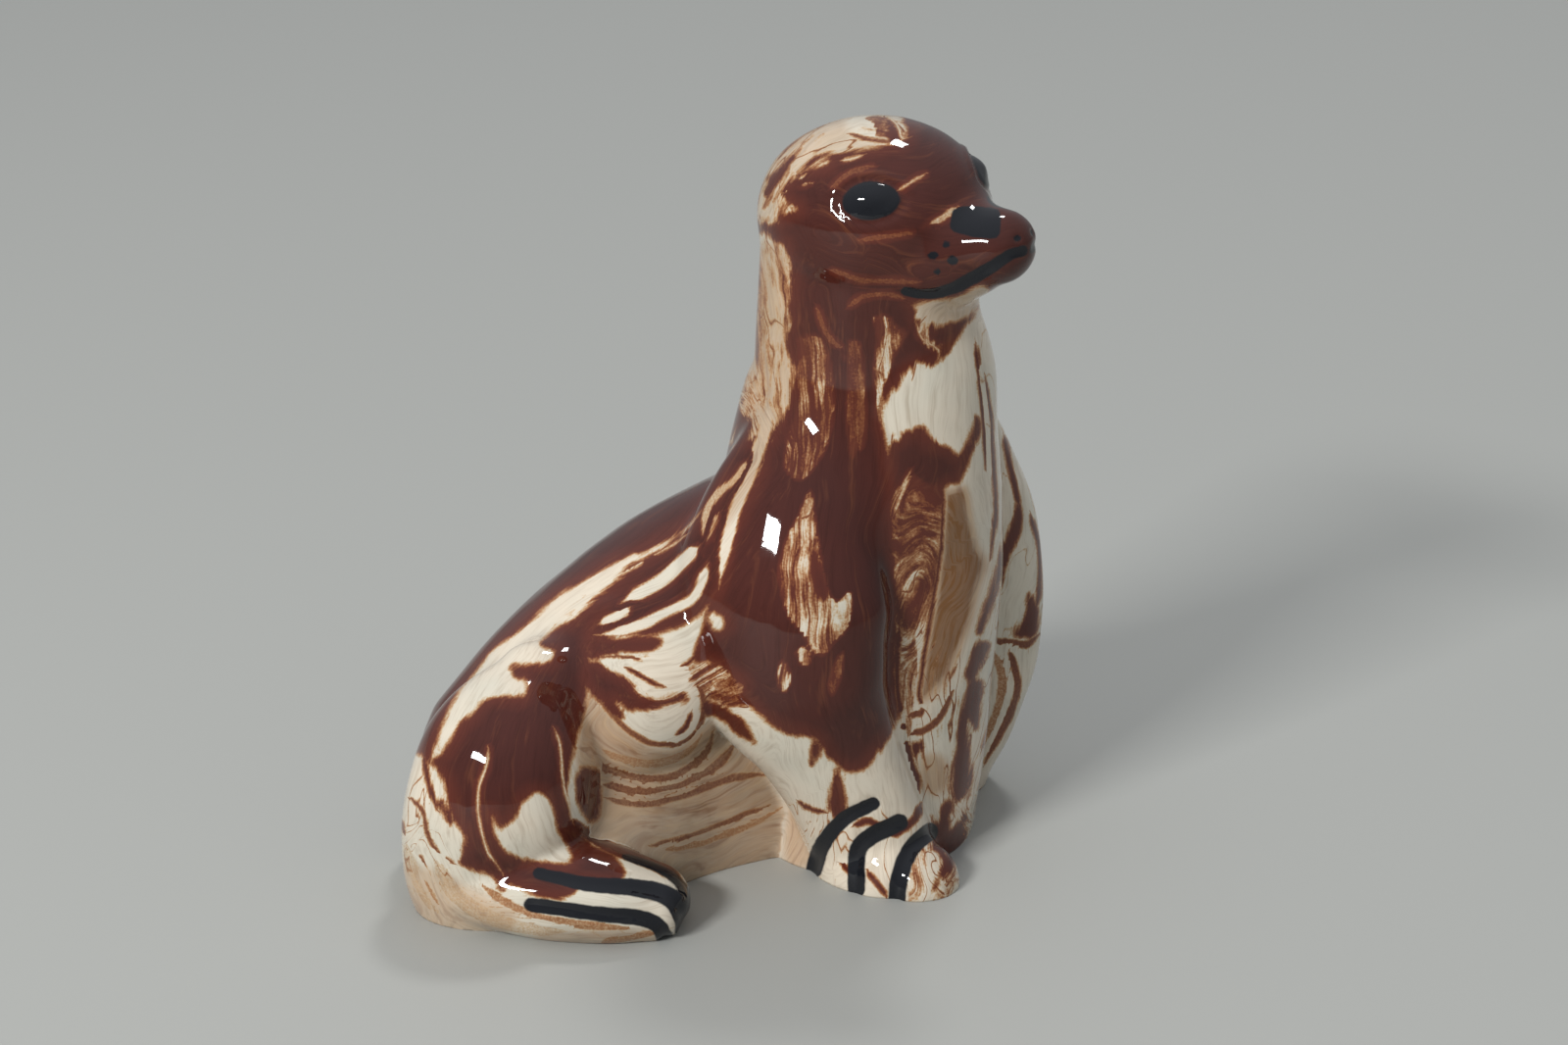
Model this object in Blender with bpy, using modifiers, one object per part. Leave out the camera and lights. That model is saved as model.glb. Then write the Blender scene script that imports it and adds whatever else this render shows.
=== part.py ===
"""Seal figurine: one hollow slip-cast pottery shell that sits upright on a flat base.

Metres, +Z up. +X is the way the front feet point and +Y is the seal's left. The forms are placed
from a point between the front feet, and the finished shell is then set over the origin, which is
the middle of its footprint.
"""
import math

import bmesh
import bpy
import numpy as np
from mathutils import Matrix, Vector

# Casting
WALL = 0.0045
BASE_THICKNESS = 0.0045
POUR_HOLE_RADIUS = 0.009
POUR_HOLE_PLACE = (-0.030, -0.003)

# Head, at the end of the neck
HEAD_REACH = -0.0213
HEAD_SIDE = -0.0069
HEAD_HEIGHT = 0.160
HEAD_TURN = -25.0
HEAD_RISE = 4.0
SKULL_HALF_LENGTH = 0.0285
SKULL_HALF_WIDTH = 0.0268
SKULL_HALF_HEIGHT = 0.0232
SNOUT_HALF_WIDTH = 0.020
SNOUT_HALF_DEPTH = 0.018
JAW_HALF_WIDTH = 0.018
JAW_HALF_DEPTH = 0.012
EYE_AZIMUTH = 52.0
EYE_ELEVATION = 20.0
EYE_HALF_LENGTH = 0.0066
EYE_HALF_HEIGHT = 0.0050
EYE_STANDS_PROUD = 0.0014

# Trunk
NECK_HALF_WIDTH = 0.0255
NECK_HALF_DEPTH = 0.028
CHEST_MIDDLE = -0.001
CHEST_HALF_WIDTH = 0.032
CHEST_HALF_DEPTH = 0.034
BACK_HALF_WIDTH = 0.034
BACK_HALF_DEPTH = 0.0265
HIP_MIDDLE = -0.034
HIP_HALF_WIDTH = 0.031
BELLY_HALF_DEPTH = 0.042

# Limbs
ARM_HALF_THICKNESS = 0.018
ARM_HALF_BREADTH = 0.0275
FOOT_HALF_BREADTH = 0.013
FOOT_HALF_DEPTH = 0.014
FOLD_RADIUS = 0.0105
THIGH_HALF_WIDTH = 0.022
THIGH_HALF_DEPTH = 0.0225
FLIPPER_HALF_BREADTH = 0.0145
FLIPPER_HALF_DEPTH = 0.010

# Surface quality
RING_POINTS = 32
RINGS_PER_SPAN = 5
GRAIN = 0.0017
CORE_GRAIN = 0.003
SMOOTHING_PASSES = 16
TRIANGLES = 8400
CORE_TRIANGLES = 1400
BELOW_BASE = 0.05

NEAR = -1
FAR = 1

# A trunk row is x, y, z, half width, half depth and heading in degrees
CHEST = [
    (-0.0230, CHEST_MIDDLE, -0.004, 0.94 * CHEST_HALF_WIDTH, 0.75 * CHEST_HALF_DEPTH, -10),
    (-0.0220, CHEST_MIDDLE, 0.018, 0.97 * CHEST_HALF_WIDTH, 0.81 * CHEST_HALF_DEPTH, -12),
    (-0.0220, CHEST_MIDDLE, 0.042, CHEST_HALF_WIDTH, 0.88 * CHEST_HALF_DEPTH, -12),
    (-0.0230, CHEST_MIDDLE, 0.068, CHEST_HALF_WIDTH, 0.97 * CHEST_HALF_DEPTH, -12),
    (-0.0245, -0.0020, 0.090, 1.04 * CHEST_HALF_WIDTH, CHEST_HALF_DEPTH, -14),
    (-0.0235, -0.0025, 0.105, 0.97 * CHEST_HALF_WIDTH, 0.95 * CHEST_HALF_DEPTH, -16),
    (-0.0220, -0.0030, HEAD_HEIGHT - 0.040, 1.07 * NECK_HALF_WIDTH, 1.07 * NECK_HALF_DEPTH, -18),
    (-0.0232, -0.0040, HEAD_HEIGHT - 0.025, 0.98 * NECK_HALF_WIDTH, 0.98 * NECK_HALF_DEPTH, -20),
    (HEAD_REACH - 0.0015, HEAD_SIDE + 0.001, HEAD_HEIGHT - 0.008,
     0.95 * NECK_HALF_WIDTH, 0.955 * NECK_HALF_DEPTH, HEAD_TURN),
]
BACK = [
    (-0.0270, CHEST_MIDDLE, 0.074, 0.88 * BACK_HALF_WIDTH, 1.13 * BACK_HALF_DEPTH, 0),
    (-0.0470, -0.0060, 0.068, BACK_HALF_WIDTH, BACK_HALF_DEPTH, 15),
    (-0.0670, -0.0150, 0.058, BACK_HALF_WIDTH, 0.96 * BACK_HALF_DEPTH, 28),
    (-0.0860, -0.0280, 0.0425, 0.97 * BACK_HALF_WIDTH, 0.96 * BACK_HALF_DEPTH, 35),
    (-0.1015, -0.0400, 0.029, 0.76 * BACK_HALF_WIDTH, 0.91 * BACK_HALF_DEPTH, 38),
]
BELLY = [
    (-0.0220, CHEST_MIDDLE, 0.020, 0.69 * CHEST_HALF_WIDTH, 0.90 * BELLY_HALF_DEPTH, 0),
    (-0.0460, -0.0040, 0.022, 0.72 * CHEST_HALF_WIDTH, 1.02 * BELLY_HALF_DEPTH, 12),
    (-0.0680, -0.0160, 0.020, 0.84 * HIP_HALF_WIDTH, BELLY_HALF_DEPTH, 28),
    (-0.0900, HIP_MIDDLE, 0.016, HIP_HALF_WIDTH, 0.81 * BELLY_HALF_DEPTH, 35),
    (-0.1055, -0.0435, 0.012, 0.84 * HIP_HALF_WIDTH, 0.57 * BELLY_HALF_DEPTH, 38),
]

# A limb row is x, how far its middle lies outside the trunk's side, z, half width and half depth
# as shares of the limb's own, and heading
NEAR_ARM = [
    (-0.0320, -0.0130, 0.110, 0.56, 0.47, -12),
    (-0.0380, -0.0060, 0.090, 0.89, 0.84, -12),
    (-0.0390, 0.0000, 0.070, 1.00, 1.00, -12),
    (-0.0350, 0.0020, 0.052, 0.94, 0.88, -12),
    (-0.0280, -0.0010, 0.036, 0.78, 0.67, -12),
    (-0.0220, -0.0045, 0.020, 0.67, 0.58, -12),
    (-0.0175, -0.0075, 0.006, 0.69, 0.58, -12),
    (-0.0170, -0.0080, -0.004, 0.69, 0.60, -12),
]
FAR_ARM = [
    (-0.0200, -0.0120, 0.114, 0.67, 0.58, -12),
    (-0.0170, -0.0060, 0.096, 0.94, 0.82, -12),
    (-0.0120, 0.0020, 0.072, 1.00, 0.95, -12),
    (-0.0080, 0.0050, 0.052, 0.94, 0.89, -12),
    (-0.0055, 0.0040, 0.036, 0.78, 0.78, -12),
    (-0.0055, 0.0015, 0.020, 0.67, 0.60, -12),
    (-0.0080, 0.0000, 0.006, 0.69, 0.45, -12),
    (-0.0100, -0.0010, -0.004, 0.69, 0.44, -12),
]
NEAR_FOOT = [
    (-0.0275, -0.0115, 0.000, 0.73, 0.71, -24),
    (-0.0190, -0.0065, 0.001, 0.96, 1.00, -24),
    (-0.0110, -0.0035, 0.001, 1.00, 0.96, -18),
    (-0.0058, -0.0015, 0.000, 0.85, 0.79, -12),
]
FAR_FOOT = [
    (-0.0260, -0.0100, 0.000, 0.73, 0.71, 14),
    (-0.0190, -0.0040, 0.001, 0.96, 1.00, 10),
    (-0.0125, -0.0005, 0.001, 1.00, 0.96, 0),
    (-0.0085, 0.0015, 0.000, 0.85, 0.79, -6),
]
NEAR_FOLD = [
    (-0.0900, 0.0020, 0.060, 0.45, 0.45, 20),
    (-0.0760, 0.0035, 0.064, 0.85, 0.80, 20),
    (-0.0610, 0.0020, 0.058, 1.00, 1.00, 10),
    (-0.0480, 0.0020, 0.052, 0.95, 0.95, 0),
]
FAR_FOLD = [
    (-0.0760, -0.0260, 0.056, 0.45, 0.45, 30),
    (-0.0630, -0.0185, 0.060, 0.85, 0.80, 25),
    (-0.0480, -0.0105, 0.056, 1.00, 1.00, 15),
    (-0.0340, -0.0020, 0.052, 0.95, 0.95, 0),
]
NEAR_THIGH = [
    (-0.0920, -0.0150, 0.054, 0.45, 0.53, 20),
    (-0.0960, -0.0080, 0.043, 0.86, 0.89, 20),
    (-0.1000, -0.0035, 0.030, 1.00, 1.00, 20),
    (-0.1035, -0.0040, 0.012, 0.86, 0.96, 20),
    (-0.1040, -0.0060, -0.003, 0.73, 0.80, 20),
]
FAR_THIGH = [
    (-0.0800, -0.0110, 0.050, 0.45, 0.53, 34),
    (-0.0840, -0.0070, 0.040, 0.86, 0.89, 34),
    (-0.0880, -0.0055, 0.028, 1.00, 1.00, 34),
    (-0.0920, -0.0070, 0.012, 0.86, 0.96, 34),
    (-0.0930, -0.0090, -0.003, 0.73, 0.80, 34),
]
NEAR_HIND_FLIPPER = [
    (-0.1100, -0.0025, 0.008, 0.97, 1.00, -20),
    (-0.1000, 0.0030, 0.008, 1.00, 1.00, -10),
    (-0.0870, 0.0058, 0.007, 0.97, 0.90, 0),
    (-0.0730, 0.0050, 0.006, 0.93, 0.85, 5),
    (-0.0608, 0.0028, 0.005, 0.79, 0.70, 12),
]
FAR_HIND_FLIPPER = [
    (-0.1040, -0.0050, 0.008, 0.97, 1.00, 50),
    (-0.0960, 0.0030, 0.008, 1.00, 1.00, 45),
    (-0.0860, 0.0110, 0.007, 0.97, 0.90, 38),
    (-0.0740, 0.0185, 0.006, 0.93, 0.85, 30),
    (-0.0640, 0.0230, 0.005, 0.79, 0.70, 24),
]

# A head row is forward and up from the head's centre, half width and half depth as shares
SNOUT = [
    (0.0040, -0.0060, 1.00, 1.00),
    (0.0140, -0.0070, 0.88, 0.83),
    (0.0240, -0.0065, 0.70, 0.67),
    (0.0315, -0.0055, 0.54, 0.53),
    (0.0355, -0.0050, 0.43, 0.42),
]
JAW = [
    (-0.0020, -0.0130, 1.00, 1.00),
    (0.0100, -0.0145, 0.78, 0.71),
    (0.0210, -0.0135, 0.56, 0.58),
    (0.0270, -0.0115, 0.39, 0.46),
]


def limb(rows, side, middle, trunk_half_width, half_width, half_depth):
    """Place a limb's rows beside the trunk: side is NEAR or FAR, middle the trunk's own middle."""
    return [(x, middle + side * (trunk_half_width + out), z, wide * half_width,
             deep * half_depth, heading) for x, out, z, wide, deep, heading in rows]


def arm(rows, side):
    return limb(rows, side, CHEST_MIDDLE, CHEST_HALF_WIDTH, ARM_HALF_THICKNESS, ARM_HALF_BREADTH)


def foot(rows, side):
    return limb(rows, side, CHEST_MIDDLE, CHEST_HALF_WIDTH, FOOT_HALF_BREADTH, FOOT_HALF_DEPTH)


def fold(rows, side):
    return limb(rows, side, CHEST_MIDDLE, CHEST_HALF_WIDTH, FOLD_RADIUS, FOLD_RADIUS)


def thigh(rows, side):
    return limb(rows, side, HIP_MIDDLE, HIP_HALF_WIDTH, THIGH_HALF_WIDTH, THIGH_HALF_DEPTH)


def hind_flipper(rows, side):
    return limb(rows, side, HIP_MIDDLE, HIP_HALF_WIDTH, FLIPPER_HALF_BREADTH, FLIPPER_HALF_DEPTH)


def head_frame():
    """The head's own frame: X forward along the snout, Y to the seal's left, Z up."""
    place = Matrix.Translation((HEAD_REACH, HEAD_SIDE, HEAD_HEIGHT))
    turn = Matrix.Rotation(math.radians(HEAD_TURN), 4, 'Z')
    rise = Matrix.Rotation(math.radians(-HEAD_RISE), 4, 'Y')
    return place @ turn @ rise


def head_form(rows, half_width, half_depth):
    """Turn head rows into rows of the whole figure."""
    frame = head_frame()
    placed = []
    for forward, up, wide, deep in rows:
        x, y, z = frame @ Vector((forward, 0.0, up))
        placed.append((x, y, z, wide * half_width, deep * half_depth, HEAD_TURN))
    return placed


def smooth_path(rows):
    """Carry a Catmull-Rom curve through the rows, with RINGS_PER_SPAN rows to a span."""
    rows = np.asarray(rows, dtype=float)
    rows = np.vstack([2 * rows[0] - rows[1], rows, 2 * rows[-1] - rows[-2]])
    t = np.linspace(0.0, 1.0, RINGS_PER_SPAN, endpoint=False)[:, None]
    spans = [0.5 * (2 * b + (c - a) * t + (2 * a - 5 * b + 4 * c - d) * t ** 2
                    + (3 * b - a - 3 * c + d) * t ** 3)
             for a, b, c, d in zip(rows, rows[1:], rows[2:], rows[3:])]
    return np.vstack(spans + [rows[-2:-1]])


def tube_rings(rows, inset):
    """Ellipses square to the path through the rows, closed by rounded ends, and the two poles.

    The half width runs across the heading, and the half depth along the third direction.
    """
    rows = smooth_path(rows)
    centres = rows[:, :3]
    along = np.gradient(centres, axis=0)
    along /= np.linalg.norm(along, axis=1)[:, None]
    heading = np.radians(rows[:, 5])
    across = np.stack([-np.sin(heading), np.cos(heading), np.zeros_like(heading)], axis=1)
    across -= along * np.sum(across * along, axis=1)[:, None]
    across /= np.linalg.norm(across, axis=1)[:, None]
    deep = np.cross(along, across)
    widths = rows[:, 3] - inset
    depths = rows[:, 4] - inset
    angle = np.linspace(0.0, 2 * math.pi, RING_POINTS, endpoint=False)
    rings = (centres[:, None] + across[:, None] * (widths[:, None] * np.cos(angle))[..., None]
             + deep[:, None] * (depths[:, None] * np.sin(angle))[..., None])
    bulge = np.minimum(widths, depths)
    turns = np.linspace(0.0, math.pi / 2, 5)[1:-1]
    start = [centres[0] + (rings[0] - centres[0]) * math.cos(a)
             - along[0] * bulge[0] * math.sin(a) for a in turns[::-1]]
    end = [centres[-1] + (rings[-1] - centres[-1]) * math.cos(a)
           + along[-1] * bulge[-1] * math.sin(a) for a in turns]
    poles = centres[0] - along[0] * bulge[0], centres[-1] + along[-1] * bulge[-1]
    return start + list(rings) + end, poles


def add_tube(bm, rows, inset=0.0):
    """Add a closed loft between unlike ellipses to bm."""
    rings, (start_pole, end_pole) = tube_rings(rows, inset)
    stack = [[bm.verts.new(point) for point in ring] for ring in rings]
    start, end = bm.verts.new(start_pole), bm.verts.new(end_pole)
    for i in range(RING_POINTS):
        j = (i + 1) % RING_POINTS
        for lower, upper in zip(stack, stack[1:]):
            bm.faces.new((lower[i], lower[j], upper[j], upper[i]))
        bm.faces.new((start, stack[0][j], stack[0][i]))
        bm.faces.new((end, stack[-1][i], stack[-1][j]))


def add_skull(bm, inset=0.0):
    """Add the round of the head as a stretched sphere."""
    size = Matrix.Diagonal((SKULL_HALF_LENGTH - inset, SKULL_HALF_WIDTH - inset,
                            SKULL_HALF_HEIGHT - inset, 1.0))
    bmesh.ops.create_uvsphere(bm, u_segments=32, v_segments=20, radius=1.0,
                              matrix=head_frame() @ size)


def add_outer_forms(bm):
    """Every form of the figure, each closed and overlapping its neighbours."""
    for rows in (CHEST, BACK, BELLY, arm(NEAR_ARM, NEAR), arm(FAR_ARM, FAR),
                 foot(NEAR_FOOT, NEAR), foot(FAR_FOOT, FAR),
                 fold(NEAR_FOLD, NEAR), fold(FAR_FOLD, FAR),
                 thigh(NEAR_THIGH, NEAR), thigh(FAR_THIGH, FAR),
                 hind_flipper(NEAR_HIND_FLIPPER, NEAR), hind_flipper(FAR_HIND_FLIPPER, FAR),
                 head_form(SNOUT, SNOUT_HALF_WIDTH, SNOUT_HALF_DEPTH),
                 head_form(JAW, JAW_HALF_WIDTH, JAW_HALF_DEPTH)):
        add_tube(bm, rows)
    add_skull(bm)


def add_core_forms(bm):
    """The forms that the slip drains from, a wall's thickness inside the outer ones."""
    for rows in (CHEST, BACK, BELLY, arm(NEAR_ARM, NEAR), arm(FAR_ARM, FAR),
                 thigh(NEAR_THIGH, NEAR), thigh(FAR_THIGH, FAR),
                 head_form(SNOUT, SNOUT_HALF_WIDTH, SNOUT_HALF_DEPTH)):
        add_tube(bm, rows, WALL)
    add_skull(bm, WALL)


def new_object(name, mesh, collection):
    thing = bpy.data.objects.new(name, mesh)
    collection.objects.link(thing)
    return thing


def set_mesh_from_modifiers(thing):
    """Make the object's evaluated mesh its own, and drop the modifiers."""
    depsgraph = bpy.context.evaluated_depsgraph_get()
    finished = bpy.data.meshes.new_from_object(thing.evaluated_get(depsgraph))
    thing.modifiers.clear()
    thing.data = finished


def add_boolean(thing, name, operation, other):
    cut = thing.modifiers.new(name, 'BOOLEAN')
    cut.operation = operation
    cut.object = other


def fused_skin(name, add_forms, grain, triangles, collection):
    """Melt overlapping forms into one smooth closed skin of about so many triangles."""
    bm = bmesh.new()
    add_forms(bm)
    bmesh.ops.recalc_face_normals(bm, faces=bm.faces)
    mesh = bpy.data.meshes.new(name)
    bm.to_mesh(mesh)
    bm.free()
    skin = new_object(name, mesh, collection)
    fuse = skin.modifiers.new("fuse", 'REMESH')
    fuse.mode = 'VOXEL'
    fuse.voxel_size = grain
    soften = skin.modifiers.new("soften", 'SMOOTH')
    soften.factor = 0.5
    soften.iterations = SMOOTHING_PASSES
    set_mesh_from_modifiers(skin)
    thin = skin.modifiers.new("thin out", 'DECIMATE')
    thin.ratio = min(1.0, triangles / (2 * len(skin.data.polygons)))
    set_mesh_from_modifiers(skin)
    return skin


def box_below(name, top, collection):
    """A wide box whose upper face lies at the height top."""
    bm = bmesh.new()
    bmesh.ops.create_cube(bm, size=1.0)
    for vertex in bm.verts:
        vertex.co.z = top if vertex.co.z > 0 else top - BELOW_BASE
    mesh = bpy.data.meshes.new(name)
    bm.to_mesh(mesh)
    bm.free()
    return new_object(name, mesh, collection)


def make_eyes(collection):
    """Two flattened ellipsoids set into the skull, looking out and a little up."""
    eyes = []
    for side, name in ((NEAR, "right_eye"), (FAR, "left_eye")):
        azimuth = math.radians(side * EYE_AZIMUTH)
        elevation = math.radians(EYE_ELEVATION)
        out = Vector((math.cos(azimuth) * math.cos(elevation),
                      math.sin(azimuth) * math.cos(elevation), math.sin(elevation)))
        skull = Vector((SKULL_HALF_LENGTH, SKULL_HALF_WIDTH, SKULL_HALF_HEIGHT))
        reach = 1.0 / math.sqrt(sum((out[i] / skull[i]) ** 2 for i in range(3)))
        facing = out.to_track_quat('X', 'Z').to_matrix().to_4x4()
        place = Matrix.Translation(out * (reach - EYE_HALF_HEIGHT + EYE_STANDS_PROUD))
        size = Matrix.Diagonal((EYE_HALF_HEIGHT, EYE_HALF_LENGTH, EYE_HALF_HEIGHT, 1.0))
        bm = bmesh.new()
        bmesh.ops.create_uvsphere(bm, u_segments=16, v_segments=10, radius=1.0,
                                  matrix=head_frame() @ place @ facing @ size)
        mesh = bpy.data.meshes.new(name)
        bm.to_mesh(mesh)
        bm.free()
        eyes.append(new_object(name, mesh, collection))
    return eyes


def make_pour_hole(collection):
    """The cutter for the round hole in the base through which the slip was poured."""
    bm = bmesh.new()
    x, y = POUR_HOLE_PLACE
    bmesh.ops.create_cone(bm, cap_ends=True, segments=32, radius1=POUR_HOLE_RADIUS,
                          radius2=POUR_HOLE_RADIUS, depth=4 * BASE_THICKNESS,
                          matrix=Matrix.Translation((x, y, 0.0)))
    mesh = bpy.data.meshes.new("pour_hole")
    bm.to_mesh(mesh)
    bm.free()
    return new_object("pour_hole", mesh, collection)


def make_clay():
    """Glazed clay in the figure's mean red-brown."""
    clay = bpy.data.materials.new("glazed_marbled_clay")
    clay.use_nodes = True
    shader = clay.node_tree.nodes["Principled BSDF"]
    shader.inputs["Base Color"].default_value = (0.22, 0.07, 0.035, 1.0)
    shader.inputs["Roughness"].default_value = 0.12
    shader.inputs["Metallic"].default_value = 0.0
    return clay


def centre_on_origin(mesh):
    """Set the middle of the footprint's box over the origin."""
    corners = np.array([vertex.co[:2] for vertex in mesh.vertices])
    middle = (corners.min(axis=0) + corners.max(axis=0)) / 2
    mesh.transform(Matrix.Translation((-middle[0], -middle[1], 0.0)))


def main():
    for old in list(bpy.data.objects):
        bpy.data.objects.remove(old)
    parts = bpy.data.collections.new("seal_figurine")
    cutters = bpy.data.collections.new("cutters")
    for collection in (parts, cutters):
        bpy.context.scene.collection.children.link(collection)

    seal = fused_skin("seal_figurine", add_outer_forms, GRAIN, TRIANGLES, parts)
    core = fused_skin("core", add_core_forms, CORE_GRAIN, CORE_TRIANGLES, cutters)
    eyes = make_eyes(cutters)
    table = box_below("table", 0.0, cutters)
    floor = box_below("floor", BASE_THICKNESS, cutters)
    pour_hole = make_pour_hole(cutters)
    add_boolean(core, "flat floor", 'DIFFERENCE', floor)
    for eye in eyes:
        add_boolean(seal, "eye", 'UNION', eye)
    add_boolean(seal, "flat base", 'DIFFERENCE', table)
    add_boolean(seal, "hollow", 'DIFFERENCE', core)
    add_boolean(seal, "pour hole", 'DIFFERENCE', pour_hole)
    set_mesh_from_modifiers(seal)
    centre_on_origin(seal.data)
    seal.data.shade_smooth()
    seal.data.materials.clear()
    seal.data.materials.append(make_clay())
    for cutter in cutters.objects:
        cutter.hide_render = True
        cutter.display_type = 'WIRE'


main()
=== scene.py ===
"""Looks of the seal figurine: a glazed shell of marbled red-brown and cream clay.

The forms are laid out in millimetres from a point between the front feet, +X the way the feet
point and +Y the seal's left, as in the part's own source. Each is an ellipse carried along a path.
They are melted into one skin, cut flat, hollowed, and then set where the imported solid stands.
"""
import math

import bpy
import numpy as np
from mathutils import Matrix, Vector


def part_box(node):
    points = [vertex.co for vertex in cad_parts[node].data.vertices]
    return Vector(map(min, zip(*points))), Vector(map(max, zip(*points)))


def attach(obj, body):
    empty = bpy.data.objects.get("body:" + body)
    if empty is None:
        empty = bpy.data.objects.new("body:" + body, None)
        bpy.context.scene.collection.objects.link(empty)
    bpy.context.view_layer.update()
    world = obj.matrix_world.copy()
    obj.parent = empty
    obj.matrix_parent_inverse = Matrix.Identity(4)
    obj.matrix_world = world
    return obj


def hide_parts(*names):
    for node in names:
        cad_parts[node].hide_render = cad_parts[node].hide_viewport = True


MM = 0.001
NEAR = -1
FAR = 1

# The photograph's frame, in pixels, and the camera that stood for it
IMAGE_WIDTH = 1600.0
IMAGE_MIDDLE = (800.0, 533.0)
FOCAL_PIXELS = 3650.0
SENSOR_WIDTH = 36.0
CAMERA_PLACE = (0.1685, -0.7932, 0.3789)
CAMERA_PITCH = 20.0
CAMERA_TURN = 11.0

# Casting, in millimetres
WALL = 4.5
BASE_THICKNESS = 4.5
POUR_HOLE_RADIUS = 9.0
POUR_HOLE_PLACE = (-30.0, -3.0)
GRAIN = 1.0
CORE_GRAIN = 3.0
SMOOTHING_PASSES = 7
CORE_SMOOTHING_PASSES = 16
RING_POINTS = 48
RINGS_PER_SPAN = 6
END_TURNS = 6

# Head
HEAD_CENTRE = (-21.3, -6.9, 160.0)
HEAD_TURN = -25.0
HEAD_RISE = 4.0
SKULL = (28.5, 26.8, 23.2)
EYE_AZIMUTHS = {NEAR: 56.0, FAR: 34.0}
EYE_ELEVATION = 19.5
EYE_HALF_LENGTH = 6.8
EYE_HALF_HEIGHT = 5.0
EYE_STANDS_PROUD = 1.1

# Carving: depth in millimetres, and how far a groove spreads in pixels
MOUTH_GROOVE = (0.45, 4.5)
NOSTRIL_GROOVE = (0.6, 3.6)
TOE_GROOVE = (0.6, 6.5)
LID_DEPTH = 0.55
BROW_HEIGHT = 0.5
GLAZE_RIPPLE = 0.07

# Rings round an eye: middle and width as shares of the way to the edge of its paint
LID_RING = (1.12, 0.13)
BROW_RING = (1.42, 0.16)

# Trunk rows are x, y, z, half width, half depth and heading in degrees
CHEST = [
    (-23.0, -1.0, -4, 30.1, 25.5, -10),
    (-22.0, -1.0, 18, 31.0, 27.5, -12),
    (-22.0, -1.0, 42, 32.0, 29.9, -12),
    (-23.0, -1.0, 68, 32.0, 33.0, -12),
    (-24.5, -2.0, 90, 33.3, 34.0, -14),
    (-23.5, -2.5, 105, 31.0, 32.3, -16),
    (-22.0, -3.0, 120, 27.3, 30.0, -18),
    (-23.2, -4.0, 135, 25.0, 27.4, -20),
    (-22.8, -5.9, 152, 24.2, 26.7, -25),
]
BACK = [
    (-27.0, -1.0, 74.0, 29.9, 29.9, 0),
    (-47.0, -6.0, 68.0, 34.0, 26.5, 15),
    (-67.0, -15.0, 58.0, 34.0, 25.4, 28),
    (-86.0, -28.0, 42.5, 33.0, 25.4, 35),
    (-101.5, -40.0, 29.0, 25.8, 24.1, 38),
]
BELLY = [
    (-22.0, -1.0, 20, 22.1, 37.8, 0),
    (-46.0, -4.0, 22, 23.0, 42.8, 12),
    (-68.0, -16.0, 20, 26.0, 42.0, 28),
    (-90.0, -34.0, 16, 31.0, 34.0, 35),
    (-105.5, -43.5, 12, 26.0, 23.9, 38),
]

# Limb rows are x, y, z, half width, half depth and heading
NEAR_ARM = [
    (-28.0, -14.0, 128, 8.0, 11.0, -12),
    (-32.0, -20.5, 110, 11.5, 16.0, -12),
    (-37.0, -27.5, 90, 15.8, 23.0, -12),
    (-39.0, -33.0, 70, 18.0, 27.5, -12),
    (-35.0, -35.0, 52, 16.9, 24.2, -12),
    (-28.0, -32.0, 36, 14.0, 18.4, -12),
    (-22.0, -28.5, 20, 12.1, 16.0, -12),
    (-17.5, -25.5, 6, 12.4, 16.0, -12),
    (-17.0, -25.0, -4, 12.4, 16.5, -12),
]
FAR_ARM = [
    (-20.0, 19.0, 114, 12.1, 16.0, -12),
    (-17.0, 25.0, 96, 16.9, 22.6, -12),
    (-12.0, 33.0, 72, 18.0, 26.1, -12),
    (-8.0, 36.0, 52, 16.9, 24.5, -12),
    (-5.5, 35.0, 36, 14.0, 21.5, -12),
    (-5.5, 32.5, 20, 12.1, 16.5, -12),
    (-8.0, 31.0, 6, 12.4, 12.4, -12),
    (-10.0, 30.0, -4, 12.4, 12.1, -12),
]
NEAR_FOOT = [
    (-27.5, -21.5, 0, 9.5, 9.9, -24),
    (-19.0, -26.5, 1, 12.5, 14.0, -24),
    (-11.0, -29.5, 1, 13.0, 13.4, -18),
    (-5.8, -31.5, 0, 11.0, 11.1, -12),
]
FAR_FOOT = [
    (-26.0, 21.0, 0, 9.5, 9.9, 14),
    (-19.0, 27.0, 1, 12.5, 14.0, 10),
    (-12.5, 30.5, 1, 13.0, 13.4, 0),
    (-8.5, 32.5, 0, 11.0, 11.1, -6),
]
NEAR_FOLD = [
    (-90.0, -35.0, 60, 4.7, 4.7, 20),
    (-76.0, -36.5, 64, 8.9, 8.4, 20),
    (-61.0, -35.0, 58, 10.5, 10.5, 10),
    (-48.0, -35.0, 52, 10.0, 10.0, 0),
]
FAR_FOLD = [
    (-76.0, 5.0, 56, 4.7, 4.7, 30),
    (-63.0, 12.5, 60, 8.9, 8.4, 25),
    (-48.0, 20.5, 56, 10.5, 10.5, 15),
    (-34.0, 29.0, 52, 10.0, 10.0, 0),
]
NEAR_THIGH = [
    (-92.0, -50.0, 54, 9.9, 11.9, 20),
    (-96.0, -57.0, 43, 18.9, 20.0, 20),
    (-100.0, -61.5, 30, 22.0, 22.5, 20),
    (-103.5, -61.0, 12, 18.9, 21.6, 20),
    (-104.0, -59.0, -3, 16.1, 18.0, 20),
]
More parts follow.
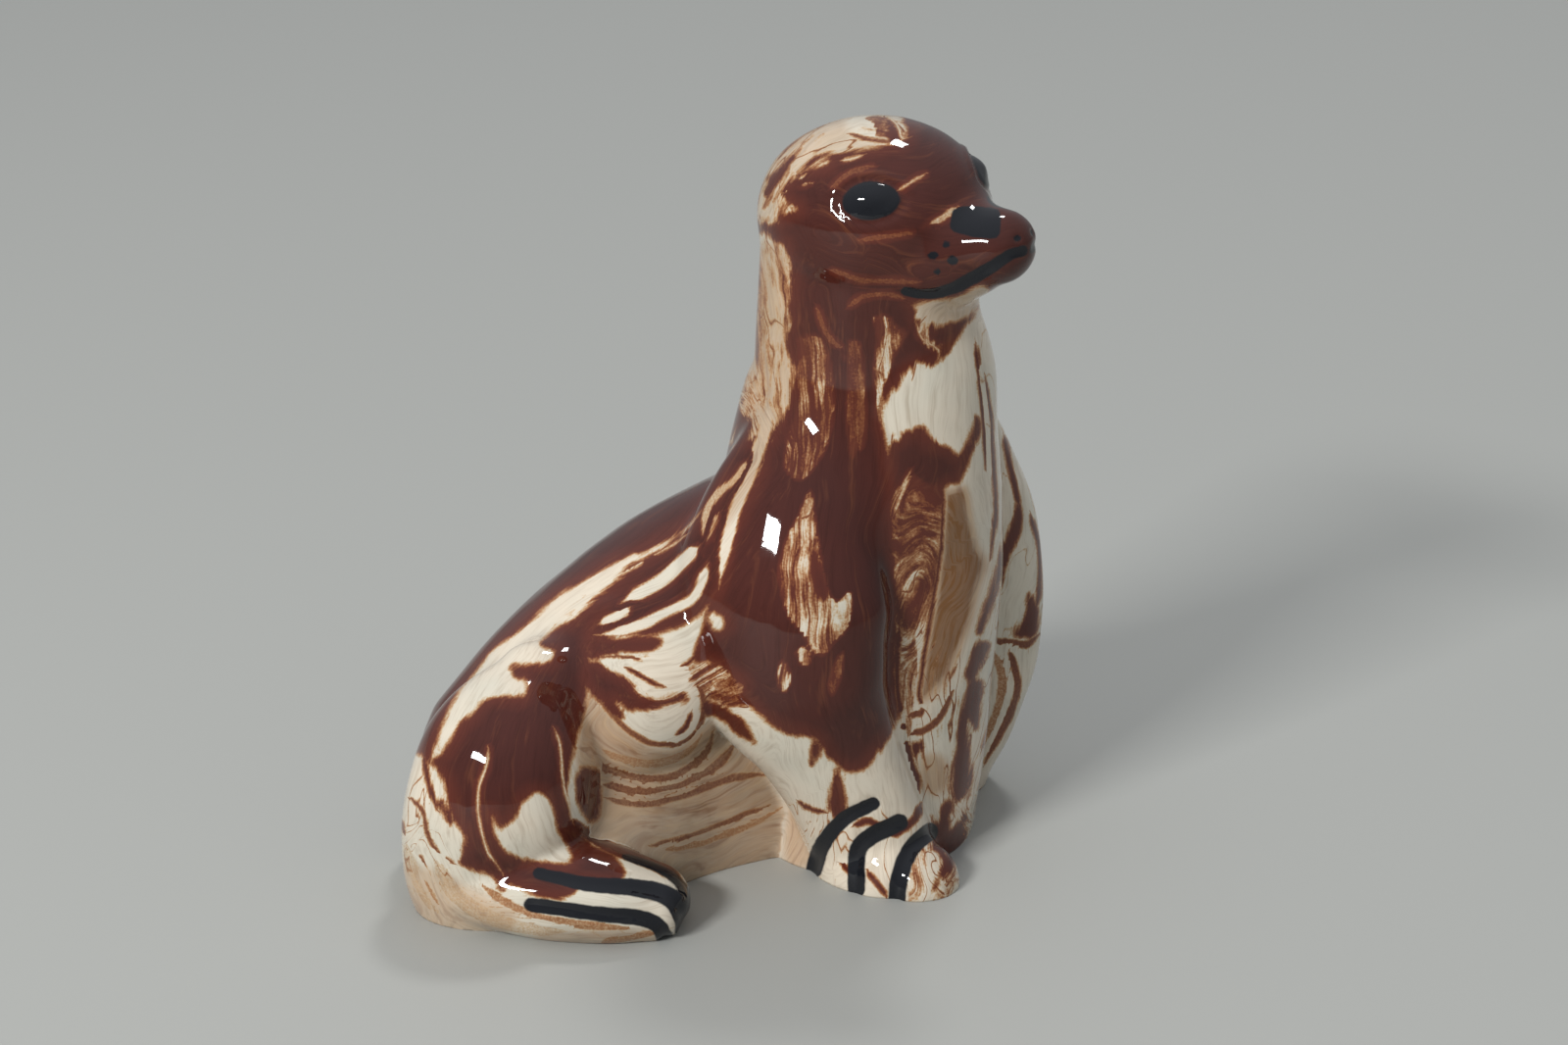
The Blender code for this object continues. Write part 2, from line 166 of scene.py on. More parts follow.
FAR_THIGH = [
    (-80.0, -14.0, 50, 9.9, 11.9, 34),
    (-84.0, -10.0, 40, 18.9, 20.0, 34),
    (-88.0, -8.5, 28, 22.0, 22.5, 34),
    (-92.0, -10.0, 12, 18.9, 21.6, 34),
    (-93.0, -12.0, -3, 16.1, 18.0, 34),
]
NEAR_HIND_FLIPPER = [
    (-110.0, -62.5, 9, 14.1, 11.5, -20),
    (-100.0, -67.3, 10, 15.0, 12.0, -10),
    (-87.0, -69.4, 9.5, 15.2, 12.0, 0),
    (-74.0, -68.6, 8.5, 14.6, 11.4, 5),
    (-62.8, -66.6, 6.5, 12.0, 9.0, 12),
]
FAR_HIND_FLIPPER = [
    (-104.0, -8.0, 8, 14.1, 10.0, 50),
    (-96.0, 0.0, 8, 14.5, 10.0, 45),
    (-86.0, 8.0, 7, 14.1, 9.0, 38),
    (-74.0, 15.5, 6, 13.5, 8.5, 30),
    (-64.0, 20.0, 5, 11.5, 7.0, 24),
]

# Head rows are forward and up from the head's centre, half width and half depth
SNOUT = [
    (2.0, -6.0, 23.5, 18.0),
    (13.0, -7.0, 21.0, 15.2),
    (23.0, -6.5, 15.8, 12.3),
    (30.0, -5.0, 12.0, 10.4),
    (33.6, -4.4, 10.4, 9.3),
]
JAW = [
    (-2.0, -13.0, 18.0, 12.0),
    (10.0, -14.5, 14.0, 8.5),
    (21.0, -13.5, 10.1, 7.0),
    (27.0, -11.5, 7.0, 5.5),
]

# Places where one form runs into the next with no crease: x, y, z and the reach of the softening
SOFT_JOINS = [
    (-31.0, -24.0, 120.0, 22.0),
    (-34.0, -28.0, 104.0, 26.0),
    (-46.0, -26.0, 90.0, 24.0),
    (-14.0, -30.0, 96.0, 16.0),
    (-20.0, 22.0, 106.0, 20.0),
    (-50.0, -5.0, 96.0, 20.0),
    (-90.0, -48.0, 58.0, 16.0),
    (-106.0, -42.0, 46.0, 18.0),
    (-78.0, -10.0, 56.0, 18.0),
    (2.0, -23.0, 158.0, 15.0),
    (8.0, -12.0, 165.0, 12.0),
    (-12.0, -24.0, 142.0, 13.0),
    (-48.0, 4.0, 147.0, 22.0),
    (-30.0, 18.0, 145.0, 20.0),
    (-44.0, -18.0, 148.0, 15.0),
]
SOFT_PASSES = 90
SOFT_STRENGTH = 1.6
SOFT_SHARE = 0.6
TABLE_HALF_WIDTH = 300.0

HEAD_FORMS = ("skull", "snout", "jaw")
ARM_FORMS = ("near arm", "near fold", "back", "chest")
THIGH_FORMS = ("near thigh", "near hind", "back", "belly", "near fold")
FAR_FORMS = ("far thigh", "far fold", "far hind")
FAR_CHEST = ("chest", "far arm")
LOWER_ARM = ("near arm", "near foot")
FLANK_FORMS = ("belly", "back")
LEAF_FORMS = ("near fold", "near arm", "belly", "back")

# The marbling, as the brush of slip lies in the photograph's frame, in pixels.
# An area is its slip, from red-brown through half-mixed to cream, its forms and its outline.
BROWN = 9.0
RUST = 0.8
FAINT = 0.9
HALF_MIXED = -0.3
TAN = -1.2
SAND = -2.7
TAN_OVER_BROWN = -2.0
CREAM = -9.0
OVER_BROWN = (CREAM, TAN_OVER_BROWN, FAINT)
REACH = 30.0
AREAS = [
    # All of the head
    (BROWN, HEAD_FORMS, [(740, 90), (1080, 90), (1080, 350), (740, 350)]),
    # Nape
    (BROWN, ("chest",),
     [(740, 90), (1060, 90), (1060, 290), (1000, 304), (940, 322), (860, 318), (810, 300),
      (786, 262), (770, 250)]),
    # Between the back's ridge and the near arm
    (BROWN, None,
     [(740, 455), (792, 440), (780, 470), (765, 510), (750, 545), (742, 575), (736, 600),
      (722, 618), (708, 630), (690, 640), (660, 647), (625, 650), (600, 650), (604, 636),
      (620, 606), (655, 574), (700, 540), (730, 500)]),
    # Throat and upper arm, down to the rounded lobe on the near arm
    (BROWN, None,
     [(800, 300), (807, 333), (802, 342), (804, 362), (813, 379), (808, 405), (799, 425),
      (788, 445), (780, 458), (770, 491), (756, 520), (741, 551), (736, 585), (722, 619),
      (716, 640), (707, 672), (722, 677), (744, 687), (757, 699), (753, 712), (736, 718),
      (761, 718), (780, 733), (804, 747), (832, 754), (843, 769), (856, 782), (870, 788),
      (886, 782), (901, 760), (913, 740), (918, 721), (915, 682), (915, 619), (918, 580),
      (914, 551), (912, 503), (907, 459), (901, 422), (914, 398), (931, 374), (941, 371),
      (951, 374), (958, 367), (970, 352), (982, 335), (997, 313), (1000, 280), (800, 280)]),
    # Brown on the chest under the bib
    (BROWN, FAR_CHEST,
     [(905, 455), (918, 447), (928, 440), (942, 434), (952, 452), (969, 457), (979, 466),
      (990, 445), (996, 425), (1000, 440), (992, 463), (986, 477), (977, 492), (965, 498),
      (962, 527), (957, 546), (955, 580), (951, 604), (935, 640), (926, 644), (916, 632),
      (910, 600), (908, 520)]),
    # The back's ridge
    (BROWN, None,
     [(735, 380), (745, 455), (690, 480), (610, 535), (540, 590), (480, 640), (430, 700),
      (395, 775), (421, 762), (438, 779), (442, 765), (452, 736), (466, 708), (483, 686),
      (499, 666), (525, 647), (547, 627), (570, 607), (603, 588), (629, 574), (657, 563),
      (672, 555), (692, 545), (715, 524), (736, 497), (759, 462), (768, 432), (757, 420)]),
    # Flank and thigh
    (BROWN, THIGH_FORMS,
     [(726, 545), (704, 571), (685, 576), (659, 593), (637, 610), (615, 630), (606, 640),
      (603, 650), (600, 697), (594, 734), (585, 765), (581, 787), (580, 809), (582, 832),
      (590, 849), (606, 863), (626, 871), (636, 885), (630, 899), (592, 902), (586, 910),
      (570, 916), (547, 913), (522, 902), (511, 909), (502, 894), (471, 882), (474, 871),
      (476, 852), (464, 835), (457, 815), (450, 790), (440, 776), (450, 770), (459, 757),
      (469, 740), (483, 727), (494, 714), (516, 711), (536, 708), (537, 693), (525, 690),
      (522, 680), (542, 678), (561, 675), (567, 664), (551, 658), (558, 649), (570, 638),
      (586, 631), (609, 609), (629, 592), (645, 577), (671, 567), (699, 553)]),
    # Cream patch on the thigh
    (CREAM, THIGH_FORMS,
     [(501, 830), (511, 843), (519, 841), (530, 824), (544, 809), (558, 811), (565, 824),
      (570, 846), (584, 871), (578, 881), (558, 881), (536, 877), (514, 868), (503, 850)]),
    # Knob at the root of the hind leg
    (BROWN, ("belly", "near thigh", "near hind"),
     [(612, 787), (615, 807), (612, 832), (601, 838), (592, 826), (586, 801), (592, 785),
      (604, 782)]),
    # Above the leaf
    (BROWN, LEAF_FORMS,
     [(600, 648), (623, 651), (657, 650), (676, 655), (659, 665), (634, 666), (615, 670),
      (600, 673)]),
    # The leaf's dark half
    (BROWN, ("near fold", "back", "belly", "near thigh"),
     [(594, 678), (606, 674), (623, 684), (643, 696), (651, 707), (671, 714), (696, 708),
      (700, 714), (671, 723), (643, 724), (628, 715), (636, 732), (626, 730), (609, 713),
      (595, 698)]),
    # Root of the near arm behind, under the fold
    (BROWN, LEAF_FORMS,
     [(718, 716), (730, 718), (752, 731), (762, 742), (770, 757), (757, 752), (735, 735),
      (718, 728)]),
    # Small cream spot on the arm
    (CREAM, ARM_FORMS, [(722, 626), (733, 624), (740, 634), (736, 643), (727, 640)]),
    # Half-mixed clay on the neck
    (RUST, None, [(812, 345), (835, 340), (848, 362), (853, 400), (850, 440), (838, 470),
                  (818, 492), (800, 480), (802, 450), (814, 415), (816, 380)]),
    (RUST, None, [(865, 345), (880, 350), (884, 400), (878, 450), (868, 470), (862, 420)]),
    # Pale marble on the near arm
    (HALF_MIXED, ARM_FORMS,
     [(797, 560), (803, 544), (812, 527), (822, 503), (830, 500), (834, 530), (840, 570),
      (846, 600), (856, 612), (864, 602), (871, 608), (867, 640), (852, 657), (842, 670),
      (829, 666), (818, 648), (804, 632), (796, 610), (792, 585)]),
    (BROWN, ARM_FORMS, [(822, 560), (831, 545), (838, 575), (848, 600), (840, 616), (828, 600)]),
    (TAN, ARM_FORMS, [(790, 690), (797, 672), (806, 680), (808, 697), (801, 708), (794, 703)]),
    (HALF_MIXED, ARM_FORMS, [(810, 664), (820, 658), (829, 668), (826, 680), (815, 678)]),
    (RUST, ARM_FORMS, [(842, 700), (852, 672), (862, 664), (860, 690), (850, 712)]),
    # Half-mixed arcs on the chest
    (RUST, ("chest",),
     [(912, 500), (930, 484), (945, 492), (962, 500), (963, 530), (958, 560), (956, 585),
      (948, 612), (936, 640), (926, 644), (918, 625), (912, 590), (910, 540)]),
    (TAN, ("chest",),
     [(918, 640), (933, 645), (938, 680), (934, 730), (928, 760), (921, 733), (916, 700)]),
    # Crown
    (CREAM, HEAD_FORMS,
     [(918, 116), (928, 136), (919, 145), (907, 146), (897, 151), (876, 155), (856, 157),
      (842, 157), (827, 163), (818, 174), (806, 184), (797, 196), (803, 204), (814, 214),
      (800, 219), (788, 229), (774, 226), (765, 210), (775, 180), (800, 145), (840, 115),
      (885, 100)]),
    (CREAM, HEAD_FORMS, [(824, 173), (834, 164), (847, 161), (846, 168), (836, 173)]),
    (BROWN, HEAD_FORMS, [(790, 178), (806, 160), (812, 163), (797, 183), (783, 200), (779, 195)]),
    (HALF_MIXED, HEAD_FORMS,
     [(879, 121), (893, 115), (903, 119), (905, 132), (903, 141), (895, 144), (892, 136),
      (890, 127), (885, 124)]),
    (BROWN, HEAD_FORMS, [(905, 119), (915, 131), (918, 144), (906, 147), (906, 134)]),
    # Side of the neck
    (CREAM, None,
     [(780, 236), (788, 246), (796, 248), (802, 257), (805, 270), (808, 294), (805, 310),
      (798, 318), (786, 322), (765, 300), (764, 260)]),
    # Under the chin
    (CREAM, None, [(930, 311), (945, 306), (975, 303), (1000, 290), (1010, 300), (996, 318),
                   (975, 330), (955, 332), (938, 326)]),
    # Throat patch
    (TAN, None, [(889, 322), (905, 320), (915, 331), (926, 340), (920, 352), (913, 366),
                 (907, 384), (900, 402), (897, 430), (892, 402), (890, 370), (893, 345)]),
    # Thin folds of tan beside it
    (RUST, None, [(934, 330), (946, 334), (952, 346), (964, 350), (962, 360), (950, 358),
                  (940, 350)]),
    # Streams down the far side of the chest
    (BROWN, FAR_CHEST,
     [(1039, 508), (1043, 534), (1030, 566), (1020, 595), (1010, 624), (1002, 644), (997, 643),
      (1003, 620), (1012, 595), (1022, 560), (1033, 534)]),
    (BROWN, FAR_CHEST,
     [(1000, 655), (1010, 658), (1002, 676), (992, 693), (986, 687), (993, 667)]),
    (BROWN, FAR_CHEST,
     [(993, 694), (1003, 697), (1002, 721), (999, 746), (989, 735), (987, 757), (990, 781),
      (990, 798), (984, 812), (976, 819), (970, 803), (973, 775), (980, 733), (986, 709)]),
    (BROWN, FAR_CHEST,
     [(1049, 605), (1060, 624), (1058, 647), (1040, 651), (1034, 646), (1044, 629)]),
    # Drips below the lobe
    (BROWN, LOWER_ARM,
     [(831, 752), (837, 761), (832, 774), (828, 780), (829, 764)]),
    (BROWN, LOWER_ARM,
     [(852, 781), (856, 788), (859, 803), (863, 824), (854, 834), (846, 824), (848, 803)]),
    # Spot beside the near arm
    (BROWN, ("chest", "near foot"), [(930, 757), (940, 757), (940, 766), (932, 769)]),
    # Front of the near foot
    (BROWN, ("near foot", "chest"),
     [(955, 838), (965, 818), (972, 822), (970, 845), (985, 832), (983, 860), (974, 884),
      (962, 898), (951, 910), (956, 893), (964, 876), (958, 868), (948, 866)]),
    # Tan lobes beside the leaf
    (TAN, LEAF_FORMS,
     [(699, 680), (727, 675), (744, 688), (757, 706), (746, 717), (721, 711), (707, 697)]),
    # Small swirl on the rump
    (BROWN, THIGH_FORMS, [(444, 820), (452, 815), (458, 826), (462, 840), (456, 838), (449, 826)]),
    # The far hindquarter, out of sight
    (BROWN, FAR_FORMS,
     [(610, 600), (680, 590), (716, 640), (704, 690), (676, 702), (660, 742), (630, 760),
      (618, 730), (640, 690), (630, 650)]),
    (BROWN, FAR_FORMS, [(560, 690), (592, 700), (600, 745), (575, 790), (548, 760), (545, 715)]),
]

# Where the two slips ran into streaks: how strongly, the forms, and the outline
PLAIN_STREAKS = 0.22
STREAKED = [
    (0.96, None, [(745, 232), (806, 232), (815, 330), (816, 430), (790, 480), (748, 470),
                  (740, 400)]),
    (0.45, None, [(745, 450), (800, 450), (786, 480), (755, 545), (736, 600), (690, 640),
                  (620, 655), (560, 640), (640, 555), (720, 490)]),
    (1.0, None, [(808, 335), (852, 335), (858, 440), (842, 485), (800, 500), (800, 440)]),
    (1.0, None, [(885, 318), (935, 318), (970, 345), (950, 378), (912, 400), (898, 440),
                 (885, 370)]),
    (0.72, HEAD_FORMS, [(940, 90), (925, 140), (880, 165), (830, 180), (815, 225), (780, 240),
                        (750, 220), (790, 110)]),
    (0.95, HEAD_FORMS, [(835, 110), (850, 135), (825, 165), (812, 195), (815, 225), (780, 240),
                        (750, 220), (780, 130)]),
    (0.6, ("near thigh", "near hind", "back"),
     [(395, 780), (455, 790), (468, 850), (495, 895), (440, 900), (400, 880)]),
    (0.6, FAR_FORMS, [(520, 600), (760, 560), (760, 800), (520, 800)]),
    (0.5, FAR_CHEST, [(985, 320), (1015, 330), (1070, 500), (1070, 660), (1005, 650),
                                 (1012, 560), (1000, 430)]),
    (0.75, ("chest", "far arm", "near foot"),
     [(905, 440), (960, 440), (965, 500), (950, 650), (1010, 660), (1010, 760), (990, 850),
      (940, 860), (925, 760), (905, 640)]),
    (1.0, ARM_FORMS, [(783, 545), (825, 495), (835, 530), (870, 590), (880, 650), (850, 680),
                      (835, 730), (785, 715), (785, 640)]),
    (0.95, LEAF_FORMS,
     [(695, 672), (730, 670), (760, 700), (765, 725), (740, 725), (705, 705)]),
    (0.9, ("near foot", "chest"), [(940, 830), (995, 820), (985, 900), (950, 930), (915, 925)]),
    (0.6, LOWER_ARM, [(800, 815), (940, 835), (930, 925), (800, 890)]),
    (0.36, ("near fold", "back", "belly"),
     [(590, 640), (690, 645), (725, 690), (715, 750), (670, 765), (600, 700)]),
    (0.45, THIGH_FORMS, [(395, 760), (440, 790), (470, 860), (520, 905), (700, 930), (700, 980),
                         (395, 960)]),
    (0.5, None, [(735, 380), (755, 420), (735, 470), (690, 520), (620, 560), (620, 520)]),
]

# Half-mixed slip: how far the clay under it is tinted tan, the forms, and the outline
WASHES = [
    (0.6, None, [(750, 250), (800, 250), (806, 300), (812, 420), (790, 470), (768, 500),
                 (740, 540), (720, 560), (715, 540), (745, 480), (755, 400)]),
    (0.4, None, [(930, 305), (1000, 290), (1010, 305), (985, 330), (945, 335)]),
    (0.4, HEAD_FORMS, [(760, 110), (850, 105), (872, 140), (925, 142), (880, 162), (830, 166),
                       (812, 200), (770, 235)]),
    (0.84, ("belly", "near fold", "back", "near thigh"),
     [(592, 700), (600, 700), (625, 728), (645, 748), (671, 762), (693, 762), (715, 745),
      (730, 735), (755, 750), (775, 770), (785, 795), (800, 830), (760, 830), (640, 840),
      (600, 835), (590, 800), (588, 760)]),
    (0.7, ("belly",), [(560, 830), (800, 825), (820, 900), (560, 920)]),
    (1.0, FAR_CHEST,
     [(962, 500), (986, 497), (992, 527), (999, 556), (1008, 575), (1000, 600), (991, 638),
      (979, 667), (967, 694), (952, 710), (942, 716), (936, 708), (942, 672), (947, 636),
      (954, 600), (959, 551)]),
    (0.8, ("chest", "near foot", "near arm"),
     [(939, 775), (950, 768), (965, 775), (969, 800), (955, 812), (942, 806), (937, 795)]),
    (0.6, ("near foot", "belly", "chest"),
     [(803, 818), (845, 829), (838, 845), (826, 884), (800, 880)]),
    (0.5, THIGH_FORMS, [(400, 880), (440, 885), (500, 915), (530, 930), (500, 965), (400, 950)]),
    (0.5, THIGH_FORMS, [(540, 958), (560, 950), (640, 948), (690, 958), (690, 975), (540, 975)]),
]

# Threads of slip: slip, half width, the forms, and the points that they run through
THREAD_REACH = 8.0
THREADS = [
    # The stream from the neck to the flank
    (CREAM, 6.0, None, [(786, 410), (780, 440), (771, 468), (763, 489), (751, 518), (744, 543),
                        (738, 573), (734, 598)]),
    (TAN_OVER_BROWN, 3.4, None, [(764, 470), (751, 489), (735, 501), (723, 517), (719, 535),
                                 (717, 548)]),
    (TAN_OVER_BROWN, 1.8, None, [(732, 526), (723, 546), (717, 566)]),
    (CREAM, 5.0, None, [(722, 577), (715, 596), (706, 611), (687, 621), (669, 630), (655, 637),
                        (630, 644), (608, 648)]),
    (CREAM, 7.0, None, [(712, 558), (693, 576), (675, 592), (653, 605), (634, 615)]),
    (CREAM, 4.5, None, [(642, 621), (627, 630), (612, 637)]),
    (CREAM, 4.0, None, [(655, 564), (634, 576), (605, 592), (586, 604), (566, 618)]),
    (CREAM, 2.0, None, [(660, 571), (638, 583), (619, 594), (602, 607), (588, 620)]),
    (TAN_OVER_BROWN, 0.8, None, [(701, 545), (678, 561), (660, 570)]),
    (BROWN, 1.2, None, [(656, 666), (684, 680), (700, 678), (712, 666), (716, 653)]),
    # A thin brown line along the crease above the leaf: painted shade of the crease
    (BROWN, 1.2, None, [(657, 668), (681, 681), (696, 690), (707, 699)]),
    # Front edge of the near arm and the pinched line on the far flipper
    (BROWN, 2.6, FAR_CHEST,
     [(918, 636), (915, 672), (916, 709), (921, 733), (929, 775), (936, 795), (936, 813),
      (930, 832)]),
    (RUST, 2.4, ("far arm",),
     [(992, 643), (1005, 651), (1015, 654), (1034, 656), (1047, 658), (1060, 648)]),
    (RUST, 2.4, FAR_CHEST,
     [(1030, 664), (1036, 684), (1038, 704), (1030, 728), (1018, 752), (1005, 778)]),
    (TAN, 2.6, FAR_CHEST,
     [(1016, 668), (1022, 684), (1022, 708), (1013, 738), (1002, 762)]),
    (BROWN, 2.2, FAR_CHEST,
     [(1024, 445), (1030, 475), (1036, 500), (1041, 520)]),
    (BROWN, 1.5, FAR_CHEST,
     [(1004, 380), (1010, 420), (1013, 470), (1016, 520), (1010, 570)]),
    (BROWN, 1.5, FAR_CHEST,
     [(996, 352), (1000, 390), (1004, 430), (1006, 480)]),
    (BROWN, 1.8, FAR_CHEST,
     [(1052, 525), (1060, 560), (1061, 600), (1056, 625)]),
    (BROWN, 1.5, FAR_CHEST,
     [(962, 498), (961, 540), (957, 585), (948, 640), (940, 690), (938, 712), (950, 722),
      (962, 705), (975, 680)]),
    # Arcs on the chest
    (TAN_OVER_BROWN, 1.4, ("chest",), [(913, 522), (921, 500), (929, 482)]),
    (RUST, 2.4, ("chest",), [(922, 732), (940, 727), (955, 714), (965, 700)]),
    (RUST, 2.2, ("chest",), [(925, 750), (945, 744), (960, 730), (972, 705)]),
    # Pale threads on the throat and the cheek
    (FAINT, 1.2, None, [(834, 316), (842, 337), (852, 350), (861, 357), (868, 368), (869, 380)]),
    (FAINT, 0.9, None, [(868, 312), (880, 303), (905, 300), (920, 303)]),
    (TAN_OVER_BROWN, 1.0, None, [(936, 332), (940, 345), (950, 352), (958, 358), (957, 366)]),
    (FAINT, 1.0, None, [(860, 360), (874, 385), (880, 420), (878, 455)]),
    (TAN_OVER_BROWN, 1.2, HEAD_FORMS, [(917, 194), (924, 190), (932, 184), (944, 178)]),
    (TAN_OVER_BROWN, 2.6, HEAD_FORMS, [(976, 213), (968, 218), (957, 225), (938, 234)]),
    (FAINT, 1.0, HEAD_FORMS, [(880, 244), (905, 242), (928, 238), (950, 232)]),
    (FAINT, 1.0, HEAD_FORMS, [(850, 276), (880, 286), (912, 287), (935, 288)]),
    (FAINT, 1.0, HEAD_FORMS, [(850, 190), (868, 176), (890, 170)]),
    # Loop and dark line on the crown
    (CREAM, 1.4, HEAD_FORMS, [(902, 117), (912, 123), (918, 132), (921, 141), (927, 140)]),
    (RUST, 0.9, HEAD_FORMS, [(868, 137), (881, 141), (895, 144), (910, 145)]),
    # Fingers at the back of the crown
    (CREAM, 1.6, HEAD_FORMS, [(800, 196), (812, 190), (826, 186)]),
    (CREAM, 1.6, HEAD_FORMS, [(805, 190), (815, 184), (822, 178)]),
    (CREAM, 1.5, HEAD_FORMS, [(860, 163), (870, 161), (880, 158)]),
    # Arcs over the belly
    (RUST, 4.0, FLANK_FORMS,
     [(590, 765), (606, 778), (629, 788), (655, 795), (680, 794), (705, 783), (722, 765),
      (728, 747)]),
    (TAN, 3.0, FLANK_FORMS,
     [(588, 752), (606, 764), (632, 774), (660, 779), (688, 774), (708, 760), (716, 748)]),
    (RUST, 4.5, FLANK_FORMS,
     [(615, 800), (640, 806), (668, 806), (700, 798), (728, 783), (745, 765), (750, 752)]),
    (RUST, 3.0, FLANK_FORMS,
     [(618, 814), (650, 820), (690, 814), (730, 799), (765, 791), (785, 790)]),
    (RUST, 2.2, ("belly",), [(665, 862), (690, 858), (715, 850), (745, 838), (785, 822)]),
    (TAN, 2.2, ("belly",), [(680, 866), (712, 860), (745, 849), (775, 836), (795, 825)]),
    (CREAM, 2.4, FLANK_FORMS, [(600, 742), (616, 770), (640, 784), (668, 787)]),
    # The leaf's edge
    (RUST, 1.7, LEAF_FORMS,
     [(596, 697), (610, 712), (623, 727), (643, 746), (665, 758), (693, 759), (712, 744),
      (718, 722), (716, 706), (704, 694), (690, 684), (668, 676), (640, 670), (612, 670)]),
    (BROWN, 1.4, ("near fold", "back"), [(640, 682), (655, 690), (668, 698), (676, 700)]),
    (BROWN, 1.8, ("near fold", "back"), [(705, 728), (700, 742), (690, 750)]),
    # Pale line round the thigh, and beside the crease
    (CREAM, 1.3, THIGH_FORMS,
     [(499, 764), (495, 785), (489, 803), (488, 825), (492, 850), (500, 872), (512, 890)]),
    (CREAM, 1.3, THIGH_FORMS, [(566, 745), (572, 765), (574, 795), (580, 820), (584, 838)]),
    # Painted shade in the hind flipper's crease, running on as a dark wash over the flipper's edge
    (BROWN, 5.5, ("near hind", "near thigh"),
     [(575, 837), (600, 851), (623, 865), (657, 877), (685, 891), (702, 908)]),
    # Streaks on the hind flipper and the rump
    (SAND, 6.0, THIGH_FORMS,
     [(445, 880), (458, 905), (480, 925), (505, 938), (540, 948), (575, 950)]),
    (TAN, 3.0, THIGH_FORMS, [(432, 895), (446, 922), (470, 943), (505, 956), (545, 962)]),
    (SAND, 4.0, THIGH_FORMS, [(415, 860), (428, 900), (448, 930), (490, 952)]),
    (TAN, 2.4, THIGH_FORMS, [(495, 905), (515, 920), (545, 934), (580, 942), (640, 948)]),
    (TAN, 2.4, THIGH_FORMS, [(455, 950), (500, 964), (560, 970), (620, 968), (665, 962)]),
    (TAN, 3.0, THIGH_FORMS, [(615, 962), (645, 957), (668, 952)]),
    (RUST, 1.0, THIGH_FORMS, [(420, 815), (432, 828), (436, 850), (446, 868), (462, 880)]),
    (RUST, 1.0, THIGH_FORMS, [(408, 835), (418, 862), (434, 880), (444, 902)]),
    (BROWN, 1.6, THIGH_FORMS, [(433, 770), (438, 800), (446, 826)]),
    # Foot
    (BROWN, 1.3, LOWER_ARM, [(815, 818), (828, 826), (843, 828)]),
    (BROWN, 2.6, LOWER_ARM, [(872, 842), (884, 838), (896, 842), (903, 850)]),
    (BROWN, 1.8, ("near foot",), [(854, 868), (860, 880), (866, 892)]),
    (BROWN, 2.0, ("near foot",), [(886, 890), (896, 902), (905, 914)]),
    (BROWN, 1.4, ("near foot",), [(808, 850), (818, 860), (824, 872)]),
    (BROWN, 3.0, LOWER_ARM, [(910, 852), (922, 846), (934, 834), (940, 818)]),
]

# Guides along which the slip ran: where each lies across the flow, and its points
GUIDE_REACH = 26.0
GUIDES = [
    (600.0, [(748, 440), (690, 498), (600, 573), (500, 650), (440, 735), (410, 830), (425, 925)]),
    (680.0, [(765, 470), (700, 560), (620, 602), (540, 662), (485, 735), (462, 820), (480, 900)]),
    (785.0, [(935, 125), (880, 130), (830, 155), (797, 195), (782, 240), (783, 340), (776, 430),
             (757, 505), (727, 575), (690, 625), (610, 645)]),
    (840.0, [(835, 300), (842, 420), (835, 520), (825, 620), (828, 700), (845, 780), (850, 880)]),
    (895.0, [(885, 300), (893, 450), (893, 600), (897, 700), (915, 800), (925, 900)]),
    (960.0, [(965, 330), (960, 450), (972, 550), (950, 680), (948, 780), (960, 880)]),
    (1030.0, [(1003, 330), (1025, 450), (1038, 560), (1018, 660), (1010, 740), (990, 800)]),
    (760.0, [(590, 660), (570, 730), (560, 800), (585, 865), (640, 895)]),
    (660.0, [(430, 880), (480, 925), (560, 945), (640, 945), (695, 950)]),
    (790.0, [(600, 770), (640, 795), (690, 800), (735, 780), (765, 750)]),
    (725.0, [(620, 865), (690, 865), (740, 848), (800, 822)]),
    (805.0, [(840, 200), (900, 245), (960, 255), (1045, 240)]),
    (945.0, [(914, 545), (926, 531), (942, 526), (962, 529)]),
    (905.0, [(917, 590), (925, 572), (940, 560), (958, 556)]),
    (868.0, [(923, 632), (932, 609), (943, 596), (955, 588)]),
]

# How the layout slides where it is out of sight, across and down: reach, and wave in pixels
SLIDE_REACH = (34.0, 46.0)
SLIDE_WAVE = (61.0, 74.0)

# Underglaze black: half width at each end of a stroke, the forms, and its points
FOOT_FORMS = ("near foot", "near arm", "chest")
HIND_FORMS = ("near hind", "near thigh", "belly")
CLAW_STROKES = [
    (7.0, 9.0, FOOT_FORMS, [(891, 820), (863, 834), (845, 853), (836, 869), (831, 886)]),
    (9.0, 9.0, FOOT_FORMS, [(918, 839), (889, 853), (876, 866), (874, 886), (874, 907)]),
    (9.0, 9.0, FOOT_FORMS, [(949, 848), (932, 863), (923, 879), (917, 899), (915, 919)]),
    (6.0, 11.5, HIND_FORMS,
     [(550, 891), (572, 896), (600, 902), (643, 905), (671, 910), (688, 919), (699, 938),
      (700, 950)]),
    (7.5, 8.5, HIND_FORMS,
     [(542, 923), (572, 927), (615, 933), (651, 936), (671, 944), (679, 958)]),
    (3.5, 6.0, ("near hind", "near thigh"),
     [(638, 874), (664, 883), (684, 893), (697, 906), (704, 920)]),
]
MOUTH_STROKES = [
    (4.5, 7.0, HEAD_FORMS, [(923, 297), (946, 300), (970, 295), (994, 283)]),
    (7.0, 5.5, HEAD_FORMS, [(994, 283), (1014, 271), (1031, 260), (1044, 256)]),
]
NOSTRIL = (3.6, 3.6, HEAD_FORMS, [(1038, 243), (1038.5, 243)])
